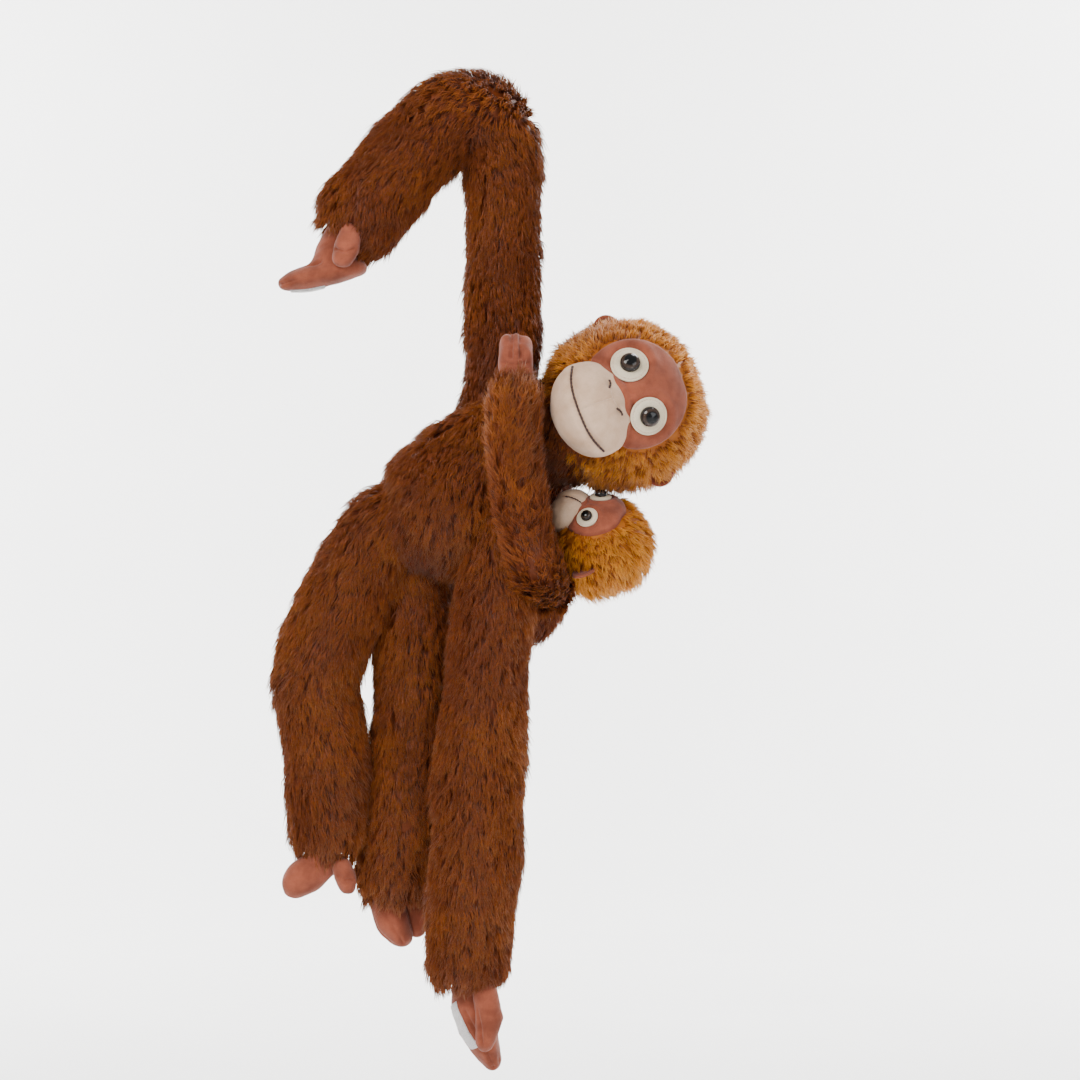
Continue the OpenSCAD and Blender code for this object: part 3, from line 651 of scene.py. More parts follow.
def stitches(name, points, normals, r, long, mat):
    """Sewn thread: overlapping capsule stitches along points, standing on the surface."""
    points, normals = np.asarray(points), unit(normals)
    steps = np.concatenate([[0], np.cumsum(np.linalg.norm(np.diff(points, axis=0), axis=1))])
    count = max(2, int(steps[-1] / (long * 0.82)))
    verts, quads, tris = [], [], []
    rows, around = 7, 8
    for i in range(count):
        ends = []
        for share in (i / count - 0.10 / count, (i + 1) / count + 0.10 / count):
            at = np.clip(share, 0, 1) * steps[-1]
            ends.append(np.array([np.interp(at, steps, points[:, c]) for c in range(3)]))
        at = (i + 0.5) / count * steps[-1]
        n = unit(np.array([np.interp(at, steps, normals[:, c]) for c in range(3)]))
        d = ends[1] - ends[0]
        side = unit(np.cross(n, d))
        base = len(verts)
        for row in range(rows):
            t = row / (rows - 1)
            fat = r * max(0.05, math.sqrt(max(0.0, 1 - (2 * t - 1) ** 4)))
            sink = r * (1.1 * (2 * t - 1) ** 4)
            c = ends[0] + d * t + n * (r * 0.35 - sink)
            for a in np.linspace(0, 2 * math.pi, around, endpoint=False):
                verts.append(c + (side * math.cos(a) + n * math.sin(a) * 0.8) * fat)
        for row in range(rows - 1):
            for a in range(around):
                b = (a + 1) % around
                at_ = base + row * around
                quads.append([at_ + a, at_ + b, at_ + around + b, at_ + around + a])
        for a in range(1, around - 1):
            tris.append([base, base + a + 1, base + a])
            top = base + (rows - 1) * around
            tris.append([top, top + a, top + a + 1])
    obj = mesh_object(name, np.array(verts), [np.array(quads), np.array(tris)])
    return paint(obj, mat)


def surface_line(obj, origins, directions, lift=0.0):
    """Points and normals where rays meet a mesh, for sewing a line onto it."""
    tree = tree_of(obj)
    points, normals = [], []
    for o, d in zip(origins, directions):
        hit, n, _, _ = tree.ray_cast(Vector(o), Vector(d))
        if hit is None:
            continue
        n = np.array(n)
        if n @ np.asarray(d) > 0:
            n = -n
        points.append(np.array(hit) + n * lift)
        normals.append(n)
    return np.array(points), np.array(normals)


def about(out, a, b, turn, away):
    """Directions that lean by the angle away from out, on the side that turn gives between a and b."""
    side = a[None] * np.cos(turn)[:, None] + b[None] * np.sin(turn)[:, None]
    return out[None] * np.cos(away)[:, None] + side * np.sin(away)[:, None]


NOSTRIL_X = 10.3


def face(prefix, body, head, look):
    """Velour face, muzzle, eye rings, ears and threads of one head. Sizes in look are in millimetres."""
    R = head.radius
    panel_r = R + look["panel"]
    face_r, face_z, notch = look["face_r"], look["face_z"], look["notch"]
    mw, mh, md, my, mz = (look[k] for k in ("muzzle_w", "muzzle_h", "muzzle_d", "muzzle_y", "muzzle_z"))
    eyes_at = [np.array([s * look["eye_side"], look["eye_up"]]) for s in (-1, 1)]
    ring_r = look["ring_r"]
    unit_mm = R / 55.0    # hems, dents and threads were sized on a head of 55 mm radius

    def outline(angle):
        top = gauss(np.angle(np.exp(1j * (angle - math.pi / 2))), 0.30)
        return face_r * (1 + 0.025 * np.cos(2 * angle)) - notch * top

    def panel(k, angle):
        rho = outline(angle) * k
        x, z = rho * np.cos(angle), face_z + rho * np.sin(angle)
        puff = 1.5 * unit_mm * np.clip(1 - k ** 6, 0, 1) - 3.2 * unit_mm * np.clip((k - 0.93) / 0.07, 0, 1)
        for ex, ez in eyes_at:
            d = np.hypot(x - ex, z - ez)
            near = 1 / (1 + np.exp((d - ring_r - 0.8 * unit_mm) / (0.55 * unit_mm)))
            pillow = 0.7 * unit_mm * gauss(d - ring_r * 1.32, 2.4 * unit_mm)
            puff = puff * (1 - near) - 0.4 * unit_mm * near + pillow
        edge = np.hypot(x / mw, (z - mz) / mh) - 1
        puff = puff - 1.6 * unit_mm * gauss(edge * mw, 2.2 * unit_mm)
        p = head.world(head.on_ball(x, z, panel_r))
        puff = puff + 0.28 * unit_mm * waves(p, 0.016 * unit_mm, 3)
        puff = puff + 0.10 * unit_mm * waves(p, 0.005 * unit_mm, 4)
        return p + unit(p - head.c) * (puff * MM)[:, None]

    skin = patch(f"{prefix}face", panel, 48, 128)
    paint(skin, VELOUR)
    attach(skin, body)
    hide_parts(prefix + "face_panel")

    def muzzle(k, angle):
        """A padded egg: k runs from its front to the edge that is sewn to the face."""
        a = k * 1.78
        x, z = np.sin(a) * np.cos(angle), np.sin(a) * np.sin(angle)
        y = np.cos(a)
        fx, fz = x * mw, z * mh
        mouth = look["mouth_z"] + look["mouth_rise"] * np.abs(fx / mw) ** 3
        front = np.clip(y * 3, 0, 1)
        dent = np.zeros_like(fx)
        if look["mouth"]:
            dent += 2.4 * gauss(fz - mouth, 2.2) * np.clip((1 - np.abs(fx / mw)) * 6, 0, 1)
            dent -= 0.9 * gauss(fz - mouth + 5.0, 4.0)
            dent += 0.9 * gauss(fx, 1.3) * np.clip((fz - mouth) / 3, 0, 1) * np.clip((20 - fz) / 4, 0, 1)
            for nx in (-NOSTRIL_X, NOSTRIL_X):
                dent += 1.8 * gauss(np.hypot(fx - nx, (fz - 17) * 1.3), 3.0)
        dent += look["cleft"] * gauss(fx, 3.2 * unit_mm)
        dent = dent * front
        q = np.stack([fx, my + y * md, mz + fz], -1)
        p = head.world(q)
        out = unit(np.stack([x / mw, y / md, z / mh], -1))
        normal = out[:, :1] * head.left + out[:, 1:2] * head.fwd + out[:, 2:] * head.up
        wrinkle = 0.30 * unit_mm * waves(p, 0.014 * unit_mm, 8)
        wrinkle = wrinkle + 0.10 * unit_mm * waves(p, 0.005 * unit_mm, 9)
        return p + normal * ((wrinkle - dent) * MM)[:, None]

    snout = patch(f"{prefix}muzzle", muzzle, 56, 128)
    paint(snout, CREAM)
    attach(snout, body)
    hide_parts(prefix + "muzzle")

    def sew(name, xs, zs, r, long, mat, nodes=(), lift=0.0):
        xs, zs = np.asarray(xs, float), np.asarray(zs, float)
        q = np.stack([xs, np.full(len(xs), my + md + 30.0), mz + zs], -1)
        points, normals = surface_line(snout, head.world(q), np.tile(-head.fwd, (len(xs), 1)), lift * MM)
        made = stitches(name, points, normals, r * MM, long * MM, mat)
        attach(made, body)
        if nodes:
            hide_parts(*nodes)

    look["threads"](sew, look)

    for i, (ex, ez) in enumerate(eyes_at):
        out = head.on_ball(np.array(ex), np.array(ez), panel_r)
        out = out / np.linalg.norm(out)
        a = unit(np.cross([0, 0, 1.0], out))
        b = np.cross(out, a)
        inner, outer = look["eye_r"] - 0.7 * unit_mm, ring_r
        around, rows = 96, 14
        angle = np.tile(np.linspace(0, 2 * math.pi, around, endpoint=False), rows)
        k = np.repeat(np.linspace(0, 1, rows), around)
        rho = inner + (outer - inner) * np.minimum(k * 1.12, 1)
        hem = 0.55 * unit_mm * gauss(rho - (outer - 1.7 * unit_mm), 0.45 * unit_mm)
        hem = hem * (1 + 0.5 * np.cos(angle * 30))
        height = look["ring_top"] - hem - 1.3 * unit_mm * np.clip((k - 0.86) / 0.14, 0, 1) ** 2 * 1.6
        p = head.world(about(out, a, b, angle, rho / panel_r) * (panel_r + height)[:, None])
        ring = mesh_object(f"{prefix}eye_ring_{'rl'[i]}", p, [grid_quads(rows, around)])
        paint(ring, FELT)
        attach(ring, body)
        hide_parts(prefix + "eye_rings")
        turns = np.linspace(0, 2 * math.pi, 61)
        away = np.full(len(turns), (outer - 1.7 * unit_mm) / panel_r)
        at = head.world(about(out, a, b, turns, away) * (panel_r + look["ring_top"] - 0.45 * unit_mm))
        made = stitches(f"{prefix}ring_stitch_{'rl'[i]}", at, at - head.c, 0.28 * MM * unit_mm,
                        2.3 * MM * unit_mm, SEAM_THREAD)
        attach(made, body)

    for s in (-1, 1):
        ex, ey, ez, er = look["ear"]

        def ear(k, angle):
            rim = er * k
            x, z = rim * np.cos(angle), rim * 1.15 * np.sin(angle)
            depth = 2.2 * unit_mm * k ** 2 - 1.4 * unit_mm * gauss(k - 1, 0.16)
            depth = depth - 1.0 * unit_mm * gauss(k - 0.72, 0.10)
            q = np.stack([s * (ex + x * 0.35 + 0.9 * x), ey + depth + 0.25 * x, ez + z], -1)
            return head.world(q)

        lobe = patch(f"{prefix}ear_{'l' if s > 0 else 'r'}", ear, 14, 48)
        thick = lobe.modifiers.new("thick", "SOLIDIFY")
        thick.thickness = 2.6 * MM * unit_mm
        apply_modifiers(lobe)
        paint(lobe, VELOUR)
        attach(lobe, body)
        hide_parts(prefix + "ears")

    # The coat, as a ball of rings from the face to the back of the head.
    turn = np.linspace(0.02, math.pi - 0.02, 15)
    line = np.array([head.c + head.fwd * math.cos(t) * R * MM for t in turn])
    ball = Tube(line, R * MM * np.sin(turn))

    def gap(p):
        """Millimetres outside the face's and the muzzle's outlines."""
        q = head.local(p)
        x, z = q[:, 0], q[:, 2] - face_z
        d = np.hypot(x, z) - outline(np.arctan2(z, x))
        d2 = (np.hypot(q[:, 0] / mw, (q[:, 2] - mz) / mh) - 1) * mh
        d = np.minimum(d, d2)
        return np.where(q[:, 1] > 0, d, 40.0)

    def shape(p, length, lift):
        near = np.clip(gap(p) / (16 * unit_mm), 0, 1)
        return length * (0.62 + 0.38 * near), lift + 0.42 * (1 - near)

    coat = fur(ball, [(f"{prefix}plush_head", 0, 1)], dict(look["fur"], shape=shape, head=True), look["seed"],
               keep=lambda p: gap(p) > -1.4)[f"{prefix}plush_head"]
    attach(coat, body)
    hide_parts(prefix + "head_cover", prefix + "head_filling")


def apply_modifiers(obj):
    depsgraph = bpy.context.evaluated_depsgraph_get()
    depsgraph.update()
    old = obj.data
    obj.data = bpy.data.meshes.new_from_object(obj.evaluated_get(depsgraph))
    obj.modifiers.clear()
    bpy.data.meshes.remove(old)


def mother_threads(sew, look):
    mw = look["muzzle_w"]
    xs = np.linspace(-0.93 * mw, 0.93 * mw, 60)
    mouth = look["mouth_z"] + look["mouth_rise"] * np.abs(xs / mw) ** 3
    sew("mouth_thread", xs, mouth, 0.85, 3.6, THREAD, ("mouth_stitching",), 0.25)
    t = np.linspace(-1, 1, 12)
    for name, nx in (("nostril_r", -NOSTRIL_X), ("nostril_l", NOSTRIL_X)):
        zs = 17.5 + 1.0 * t * np.sign(nx) - 1.4 * t * t
        sew(name, nx + t * 3.0, zs, 0.75, 2.4, THREAD, ("nostril_stitching",), 0.2)
    t = np.linspace(-1, 1, 30)
    sew("nostril_seam", t * 7.5, 15.2 + 1.6 * t * t, 0.22, 2.0, SEAM_THREAD, lift=0.05)
    sew("muzzle_seam", t * 0.0, 4.0 + 11.0 * t, 0.20, 2.2, SEAM_THREAD, lift=0.05)


def baby_threads(sew, look):
    t = np.linspace(0, 1, 14)
    zs = look["muzzle_h"] * (0.05 + 0.70 * t)
    sew("baby_nose_thread", t * 0.0, zs, 0.55, 2.6, THREAD, ("baby_nose_stitching",), 0.2)


MOTHER_LOOK = {
    "panel": 2.0, "face_r": 39.5, "face_z": 9.0, "notch": 1.5, "muzzle_w": 33.5, "muzzle_h": 28.0,
    "muzzle_d": 27.0, "muzzle_y": 43.0, "muzzle_z": -22.0, "eye_side": 19.0, "eye_up": 12.5, "ring_r": 13.0,
    "eye_r": 7.0, "ring_top": 1.5, "cleft": 0.0, "mouth": True, "mouth_z": -9.5, "mouth_rise": 9.0,
    "ear": (52.5, 2.0, 8.0, 8.5), "threads": mother_threads, "seed": 51,
    "fur": {"length": 0.0140, "lift": 0.66, "bias": 0.04, "comb": towards(0, 0, -0.25), "droop": 0.15,
            "width": 0.0010}}
mother = Head("neck", "", MOTHER_LOOK)
face("", "head", mother, MOTHER_LOOK)
BABY_LOOK = {
    "panel": 1.5, "face_r": 23.0, "face_z": 6.0, "notch": 1.0, "muzzle_w": 19.0, "muzzle_h": 15.0,
    "muzzle_d": 15.5, "muzzle_y": 28.0, "muzzle_z": -12.0, "eye_side": 12.0, "eye_up": 8.0, "ring_r": 7.5,
    "eye_r": 4.0, "ring_top": 1.0, "cleft": 1.8, "mouth": False, "mouth_z": 0.0, "mouth_rise": 0.0,
    "ear": (34.5, 2.0, 3.0, 7.0), "threads": baby_threads, "seed": 61,
    "fur": {"length": 0.0125, "lift": 0.66, "bias": 0.0, "comb": towards(0, 0, -0.25), "droop": 0.15,
            "width": 0.0009}}
baby = Head("baby_neck", "baby_", BABY_LOOK)
face("baby_", "baby_head", baby, BABY_LOOK)


# ---- Velour hands and feet ----

def ellipsoids(rows, steps=5):
    """Fills in between rows of (x, y, z, rx, ry, rz, tilt about Y), all in millimetres and degrees."""
    rows = [tuple(r) + (0.0,) * (7 - len(r)) for r in rows]
    filled = []
    for a, b in zip(rows[:-1], rows[1:]):
        for t in np.linspace(0, 1, steps, endpoint=False):
            filled.append(np.array(a) * (1 - t) + np.array(b) * t)
    filled.append(np.array(rows[-1]))
    return filled


def unit_ball(around=20, rows=12):
    """Vertices, quads and triangles of a ball."""
    u = np.linspace(0, 2 * math.pi, around, endpoint=False)
    v = np.linspace(0, math.pi, rows + 1)[1:-1]
    grid = [[math.cos(a) * math.sin(b), math.sin(a) * math.sin(b), math.cos(b)] for b in v for a in u]
    verts = np.vstack([[[0, 0, 1]], grid, [[0, 0, -1]]])
    quads, tris = polar_faces(len(v), around)
    ring = np.arange(around)
    last = 1 + (len(v) - 1) * around
    under = np.stack([ring * 0 + last + around, last + (ring + 1) % around, last + ring], 1)
    return verts, quads, np.vstack([tris, under])


def padded_form(name, chains, voxel=1.9, seams=(), groove=1.0):
    """Soft velour form through chains of ellipsoids, puffed as cloth that its seams hold in.
    seams are polylines of world millimetres; the cloth is pinned and grooved along them."""
    ball, quads, tris = unit_ball()
    verts, all_quads, all_tris, total = [], [], [], 0
    for chain in chains:
        for x, y, z, rx, ry, rz, tilt in ellipsoids(chain):
            turn = np.array(Matrix.Rotation(math.radians(tilt), 3, "Y"))
            verts.append((ball * [rx, ry, rz]) @ turn.T + [x, y, z])
            all_quads.append(quads + total)
            all_tris.append(tris + total)
            total += len(ball)
    obj = mesh_object(name, np.vstack(verts) * MM, [np.vstack(all_quads), np.vstack(all_tris)])
    remesh = obj.modifiers.new("remesh", "REMESH")
    remesh.mode = "VOXEL"
    remesh.voxel_size = voxel * MM
    smooth = obj.modifiers.new("smooth", "SMOOTH")
    smooth.factor, smooth.iterations = 0.5, 10
    apply_modifiers(obj)
    held = near_seams(obj, seams, 1.7)
    puff(obj, held)
    sub = obj.modifiers.new("sub", "SUBSURF")
    sub.levels = sub.render_levels = 1
    apply_modifiers(obj)
    co = vertices(obj)
    normals = vertex_normals(obj)
    depth = 1.5 * groove * near_seams(obj, seams, 1.3)
    wrinkle = 0.30 * waves(co, 0.012, 5) + 0.12 * waves(co, 0.004, 6)
    co = co + normals * ((wrinkle - depth) * MM)[:, None]
    obj.data.vertices.foreach_set("co", co.astype(np.float32).ravel())
    obj.data.update()
    obj.data.polygons.foreach_set("use_smooth", np.ones(len(obj.data.polygons), bool))
    paint(obj, VELOUR)
    return obj


def vertex_normals(obj):
    n = np.empty(len(obj.data.vertices) * 3, np.float32)
    obj.data.vertices.foreach_get("normal", n)
    return n.reshape(-1, 3).astype(float)


def near_seams(obj, seams, width):
    """1 on a seam's line to 0 away from it, for each vertex."""
    co = vertices(obj) / MM
    best = np.full(len(co), 1e9)
    for line in seams:
        line = np.asarray(line, float)
        for a, b in zip(line[:-1], line[1:]):
            t = np.clip(((co - a) @ (b - a)) / max((b - a) @ (b - a), 1e-9), 0, 1)
            best = np.minimum(best, np.linalg.norm(co - (a + t[:, None] * (b - a)), axis=1))
    return gauss(best, width)


def puff(obj, held, frames=20):
    """Blows the form up as cloth that is pinned where held is high, and keeps the result."""
    group = obj.vertex_groups.new(name="held")
    for level in (0.35, 0.7, 1.0):
        chosen = np.nonzero(held >= level - 0.02)[0].tolist()
        if chosen:
            group.add(chosen, level, "REPLACE")
    cloth = obj.modifiers.new("cloth", "CLOTH")
    s = cloth.settings
    s.quality = 5
    s.mass = 0.2
    s.tension_stiffness = s.compression_stiffness = s.shear_stiffness = 12
    s.bending_stiffness = 0.4
    s.use_pressure = True
    s.uniform_pressure_force = 1.6
    s.effector_weights.gravity = 0
    s.vertex_group_mass = "held"
    cloth.collision_settings.use_self_collision = False
    cloth.point_cache.frame_start, cloth.point_cache.frame_end = 1, frames
    scene = bpy.context.scene
    for frame_number in range(1, frames + 1):
        scene.frame_set(frame_number)
    apply_modifiers(obj)
    scene.frame_set(1)


def stands_on(obj, body, *nodes):
    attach(obj, body)
    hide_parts(*nodes)


def velour_part(part, body, chains, node=None, **how):
    """A hand, foot, thumb or toe on its body, in place of the CAD node of the same name or of node."""
    stands_on(padded_form("velour_" + part, chains, **how), body, node or part)


# Right hand: a stub below the cuff, a flat two-layer mitt seen on its edge, and a thumb in front.
velour_part("hand_r", "hand_r", [
    [(-88, -16, -60, 10, 10, 10), (-92, -18, -72, 12, 14, 11), (-94, -20, -80, 13, 15, 9)],
    [(-76, -21, -83, 9, 15, 6.5, 14), (-98, -22, -88, 14, 16, 7.6, 14), (-114, -22, -92.5, 12, 14, 6.8, 14),
     (-124, -22, -95, 7, 11, 5.2, 14)]],
    seams=[[(-66, -36, -80.5), (-84, -38, -85), (-98, -39, -88.5), (-114, -37, -92.5), (-128, -30, -96),
            (-132, -22, -97)],
           [(-100, -34, -80), (-118, -22, -87), (-128, -20, -90)], [(-98, -12, -80), (-122, -14, -88)]],
    groove=1.3)
velour_part("thumb_r", "hand_r", [
    [(-79, -36, -61, 8, 8, 8), (-81, -38, -71, 9.5, 8.5, 9), (-84, -38, -79, 8, 7.5, 6)]],
    seams=[[(-90, -42, -72), (-82, -47, -75), (-73, -44, -72)]], groove=1.5)

# Left hand: palm to the toy's right, thumb in front.
velour_part("hand_l", "hand_l", [
    [(1, -26, -570, 10, 11, 10), (3, -27, -580, 12, 13, 10), (4, -28, -594, 14, 16, 12),
     (8, -28, -608, 14, 16, 12), (14, -28, -622, 10.5, 13.5, 10), (19, -28, -633, 6.5, 9, 6.5)]],
    seams=[[(18, -44, -580), (20, -43, -600), (24, -40, -616), (25, -33, -632)],
           [(0, -43, -596), (8, -44, -610), (15, -40, -624), (20, -35, -636)],
           [(14, -18, -600), (19, -18, -620), (22, -22, -636)]], groove=1.2)
velour_part("thumb_l", "hand_l", [
    [(14, -42, -583, 9.5, 8, 8), (17, -45, -600, 10, 8, 10), (14, -46, -616, 7, 6.5, 8)]],
    seams=[[(8, -50, -594), (11, -52, -606), (12, -51, -616)]], groove=1.2)

# Right foot: two lobes side by side, a smaller one above, and the big toe.
velour_part("foot_r", "foot_r", [
    [(-97, -3, -484, 11, 11, 10), (-100, -7, -497, 13, 14, 11), (-110, -12, -505, 14, 11, 13),
     (-118, -13, -511, 10.5, 10, 11.5)],
    [(-100, 3, -497, 12, 12, 11), (-111, 5, -507, 13, 10.5, 13), (-119, 5, -513, 9.5, 9.5, 11)],
    [(-98, -12, -489, 9, 8, 7), (-103, -14, -493, 8, 8, 7)]],
    seams=[[(-100, -5, -516), (-112, -4, -522), (-126, -4, -516), (-128, -4, -506), (-118, -4, -496)],
           [(-90, -20, -496), (-100, -24, -499), (-112, -22, -495)]], groove=1.6)
velour_part("toe_r", "foot_r", [
    [(-86, -16, -499, 7.5, 8, 7), (-83, -19, -507, 8.2, 8, 8.5), (-82, -20, -512, 7, 7, 6.5)]], "big_toe_r",
    seams=[[(-90, -25, -503), (-84, -28, -507), (-76, -24, -508)]], groove=1.3)

# Left foot: one long lobe, and the big toe.
velour_part("foot_l", "foot_l", [
    [(-50, 11, -520, 12, 12, 11), (-56, 8, -528, 12.5, 13, 11), (-52, 6, -540, 12.5, 13, 12),
     (-46, 5, -550, 9, 10.5, 8.5)]],
    seams=[[(-60, -5, -524), (-54, -8, -536), (-47, -7, -548), (-42, -2, -558)],
           [(-68, 4, -532), (-62, 0, -546), (-50, -2, -558)]], groove=1.4)
velour_part("toe_l", "foot_l", [
    [(-38, 14, -521, 8.5, 9, 9), (-35, 12, -532, 8.8, 8.8, 9.5), (-35, 12, -544, 7.6, 7.8, 9)]], "big_toe_l",
    seams=[[(-44, 5, -524), (-36, 3, -530), (-27, 6, -530)]], groove=1.2)


def hook_strip(name, host, middle, length_dir, size, body, node):
    """Woven hook tape that follows the palm, its edges sewn down. Sizes in millimetres."""
    tree = tree_of(host)
    seat, out, _, _ = tree.find_nearest(Vector(middle) * MM)
    seat, out = np.array(seat), np.array(out)
    length_dir = unit(np.array(length_dir) - out * (np.array(length_dir) @ out))
    across = np.cross(out, length_dir)
    nu, nv = 40, 18
    u, v = np.meshgrid(np.linspace(-1, 1, nu), np.linspace(-1, 1, nv), indexing="ij")
    spread = u[..., None] * size[0] * length_dir + v[..., None] * size[1] * across
    flat = seat + out * MM + spread * (MM / 2)
    found = [tree.find_nearest(Vector(q)) for q in flat.reshape(-1, 3)]
    ridges = 0.18 * np.cos(u.ravel() * nu * 1.2)
    edge = np.maximum(np.abs(u), np.abs(v)).ravel()
    height = (1.1 + ridges - 1.9 * np.clip((edge - 0.88) / 0.12, 0, 1) ** 2) * MM
    verts = np.array([hit[0] for hit in found]) + np.array([hit[1] for hit in found]) * height[:, None]
    tape = mesh_object(name, verts, [grid_quads(nu, nv, closed=False)])
    paint(tape, HOOK)
    stands_on(tape, body, node)


hook_strip("hook_tape_l", bpy.data.objects["velour_hand_l"], (-8, -44, -609), (0.58, 0, -0.81), (38, 11),
           "hand_l", "palm_patch_l")
hook_strip("hook_tape_r", bpy.data.objects["velour_hand_r"], (-108, -22, -110), (0.97, 0, -0.24), (26, 12),
           "hand_r", "palm_patch_r")


# ---- Infant's body and limbs ----

SHORT = {"length": 0.0125, "lift": 0.45, "comb": towards(0, 0, -0.8), "width": 0.0010}
ARM_SHORT = dict(SHORT, comb=towards(0, 0, 0.2))


def infant_coat(part, line, radii, style, seed, body, *nodes):
    name = f"plush_baby_{part}"
    stands_on(fur(Tube(line, radii), [(name, 0, 1)], style, seed)[name], body, *nodes)


def arm_bias(p):
    """Darker at the infant's shoulder than at its hand."""
    return -0.12 + 0.22 * np.clip((p[:, 2] + 0.235) / 0.06, 0, 1)


bt, bn = centre("baby_torso_cover"), SPOT["baby_neck"]
spine = [bt + mm(-4, 4, -26), bt + mm(-3, 3, -20), bt, bt + mm(10, -8, 14), bt * 0.45 + bn * 0.55]
infant_coat("body", spine, [0.004, 0.012, 0.018, 0.018, 0.014], SHORT, 71,
            "baby_torso", "baby_torso_cover", "baby_torso_filling")
infant_coat("arm_r", mm((60, -2, -303), (58, -26, -306), (49, -50, -288), (39, -59, -252), (35, -60, -215),
                        (35, -58, -180), (35, -57, -166)),
            [0.011, 0.014, 0.0160, 0.0165, 0.0165, 0.0165, 0.012],
            dict(ARM_SHORT, length=0.0145, lift=0.38, bias=arm_bias), 73, "baby_arm_r", "baby_arm_r_cover")
infant_coat("arm_l", mm((66, 42, -262), (58, 47, -240), (49, 48, -222), (44, 48, -203)),
            [0.009, 0.0125, 0.0125, 0.009], ARM_SHORT, 75, "baby_arm_l", "baby_arm_l_cover")
for side, points in (("r", ((58, 18, -314), (50, 22, -328), (40, 27, -334), (31, 29, -336))),
                     ("l", ((62, 40, -308), (55, 50, -318), (46, 54, -325), (38, 56, -328)))):
    infant_coat(f"leg_{side}", mm(*points), [0.010, 0.0125, 0.0115, 0.008], dict(SHORT, length=0.0115),
                77 + ord(side), f"baby_leg_{side}", f"baby_leg_{side}_cover")

velour_part("baby_hand_r", "baby_arm_r", [
    [(35, -57, -170, 10, 9, 7), (35.5, -56, -160, 12, 9.5, 9), (35, -54, -150, 12.5, 10, 8)],
    [(29, -55, -146, 5.5, 9, 9), (29, -51, -138, 5, 7, 7)],
    [(35.5, -56, -145, 5.5, 9, 9.5), (35.5, -52, -137, 5, 7, 7)],
    [(42, -55, -146, 5.3, 9, 9), (42, -51, -139, 4.8, 7, 6.5)]],
    seams=[[(32, -64, -148), (32.3, -62, -138), (32.3, -52, -130)],
           [(38.8, -64, -148), (38.8, -62, -138), (38.8, -52, -131)],
           [(24, -62, -152), (35, -66, -153), (46, -62, -152)]], voxel=1.6, groove=1.5)
velour_part("baby_hand_l", "baby_arm_l", [
    [(43, 48, -200, 8, 8, 7), (41, 48, -192, 9, 8, 8), (38, 48, -181, 8, 7, 7)]],
    seams=[[(40, 40, -196), (38, 40, -180)]], voxel=1.6)
velour_part("baby_foot_r", "baby_leg_r", [
    [(29, 29, -336, 7, 8, 8), (23, 30, -337, 8, 8, 8), (15, 33, -339, 7, 7, 7)]],
    seams=[[(26, 22, -338), (14, 25, -340)]], voxel=1.6)
velour_part("baby_foot_l", "baby_leg_l", [
    [(36, 57, -328, 7, 7, 7), (31, 58, -329, 7, 7, 7), (24, 59, -331, 7, 7, 7)]],
    seams=[[(33, 51, -330), (22, 52, -332)]], voxel=1.6)


# ---- Carried-over plastic parts ----

def eye_material(name, apexes, pupil):
    """Black glossy dome with a dark brown iris ring round the pupil."""
    mat, tree, bsdf = new_material(name)
    nearest = None
    coords = tree.nodes.new("ShaderNodeTexCoord")
    for apex in apexes:
        node = tree.nodes.new("ShaderNodeVectorMath")
        node.operation = "DISTANCE"
        tree.links.new(coords.outputs["Object"], node.inputs[0])
        node.inputs[1].default_value = tuple(apex)
        if nearest is None:
            nearest = node.outputs["Value"]
        else:
            least = tree.nodes.new("ShaderNodeMath")
            least.operation = "MINIMUM"
            tree.links.new(nearest, least.inputs[0])
            tree.links.new(node.outputs["Value"], least.inputs[1])
            nearest = least.outputs["Value"]
    scaled = tree.nodes.new("ShaderNodeMath")
    scaled.operation = "MULTIPLY"
    scaled.inputs[1].default_value = 1 / (pupil * 2)
    tree.links.new(nearest, scaled.inputs[0])
    iris = [(0.44, (0.003, 0.003, 0.003)), (0.50, (0.030, 0.018, 0.012)), (0.66, (0.045, 0.028, 0.02)),
            (0.78, (0.012, 0.010, 0.010))]
    tree.links.new(ramp(tree, scaled.outputs["Value"], iris), bsdf.inputs["Base Color"])
    bsdf.inputs["Roughness"].default_value = 0.09
    bsdf.inputs["Specular IOR Level"].default_value = 0.3
    return mat


def repaint(node, mat):
    data = frame["nodes"][node].data
    data.materials.clear()
    data.materials.append(mat)


def eye_tops(head, look, reach, base):
    """Tops of the two domes, whose middles sit at reach from the head's centre in front view."""
    out = [head.on_ball(np.array(s * look["eye_side"]), np.array(look["eye_up"]), reach) for s in (-1.0, 1.0)]
    return [head.world(o / np.linalg.norm(o) * (base + 1 + 0.7 * look["eye_r"])) for o in out]


repaint("eyes", eye_material("eye_plastic_iris", eye_tops(mother, MOTHER_LOOK, 57.1, 58.5), 4.5 * MM))
repaint("baby_eyes", eye_material("baby_eye_plastic", eye_tops(baby, BABY_LOOK, 34.6, 35.8), 2.6 * MM))
repaint("eye_washers", WASHER)


# ---- Floor, light and camera ----

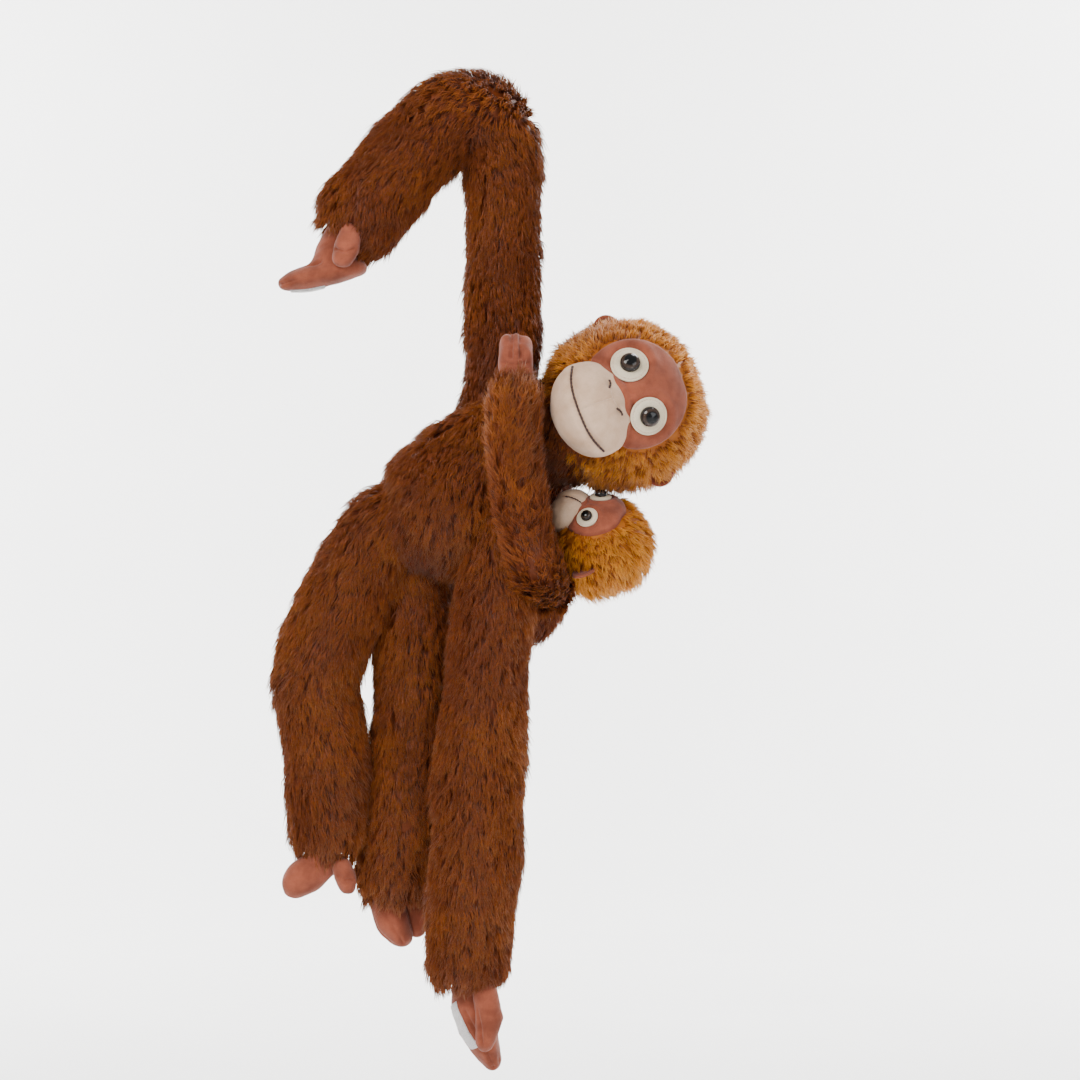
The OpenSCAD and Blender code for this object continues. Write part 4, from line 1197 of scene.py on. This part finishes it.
def stage_material(name, colour):
    mat, tree, bsdf = new_material(name)
    soft = noise(tree, 3.0, 2.0)
    lighter = tuple(min(1.0, c * 1.03) for c in colour)
    tree.links.new(ramp(tree, soft, [(0.3, colour), (0.7, lighter)]), bsdf.inputs["Base Color"])
    bsdf.inputs["Roughness"].default_value = 0.9
    return mat


def backdrop():
    """Pale floor that sweeps up behind the toy, far enough off for a camera to pass in between."""
    y0, floor_z, r, wall = 3.6, -0.90, 0.8, 2.6
    profile = [(-3.5, floor_z), (y0 - r, floor_z)]
    for a in np.linspace(0, math.pi / 2, 14)[1:]:
        profile.append((y0 - r + r * math.sin(a), floor_z + r - r * math.cos(a)))
    profile += [(y0, wall)]
    verts = np.array([[x, y, z] for x in (-5.0, 5.0) for y, z in profile])
    quads = grid_quads(2, len(profile), closed=False)
    obj = mesh_object("backdrop", verts, [quads])
    obj.data.materials.append(stage_material("backdrop", (0.90, 0.895, 0.885)))


def area_light(name, place, aim, size, power, colour=(1, 1, 1)):
    light = bpy.data.lights.new(name, "AREA")
    light.shape = "DISK"
    light.size = size
    light.energy = power
    light.color = colour
    obj = bpy.data.objects.new(name, light)
    obj.location = place
    obj.rotation_euler = (Vector(aim) - Vector(place)).to_track_quat("-Z", "Y").to_euler()
    bpy.context.scene.collection.objects.link(obj)


backdrop()
TARGET = Vector((0.0518, 0.0, -0.2723))
area_light("key", (-0.9, -1.4, 0.9), TARGET, 1.0, 48, (1.0, 0.97, 0.93))
area_light("fill", (1.5, -1.5, 0.1), TARGET, 1.4, 19, (0.94, 0.97, 1.0))
area_light("rim", (0.6, 0.8, 0.9), TARGET, 0.9, 22)
for side in (-1, 1):
    area_light(f"backdrop_{side}", (side * 2.3, 2.0, 1.0), (side * 0.5, 3.6, -0.2), 1.2, 240)
world = bpy.data.worlds.new("studio")
world.use_nodes = True
sky = world.node_tree.nodes["Background"]
sky.inputs["Color"].default_value = (0.95, 0.97, 1.0, 1)
sky.inputs["Strength"].default_value = 0.58
bpy.context.scene.world = world

camera = bpy.data.cameras.new("camera")
camera.lens, camera.sensor_width = 105, 36
view = bpy.data.objects.new("camera", camera)
view.location = TARGET + Vector((0, -2.205, 0))
view.rotation_euler = (math.pi / 2, 0, 0)
bpy.context.scene.collection.objects.link(view)
bpy.context.scene.camera = view
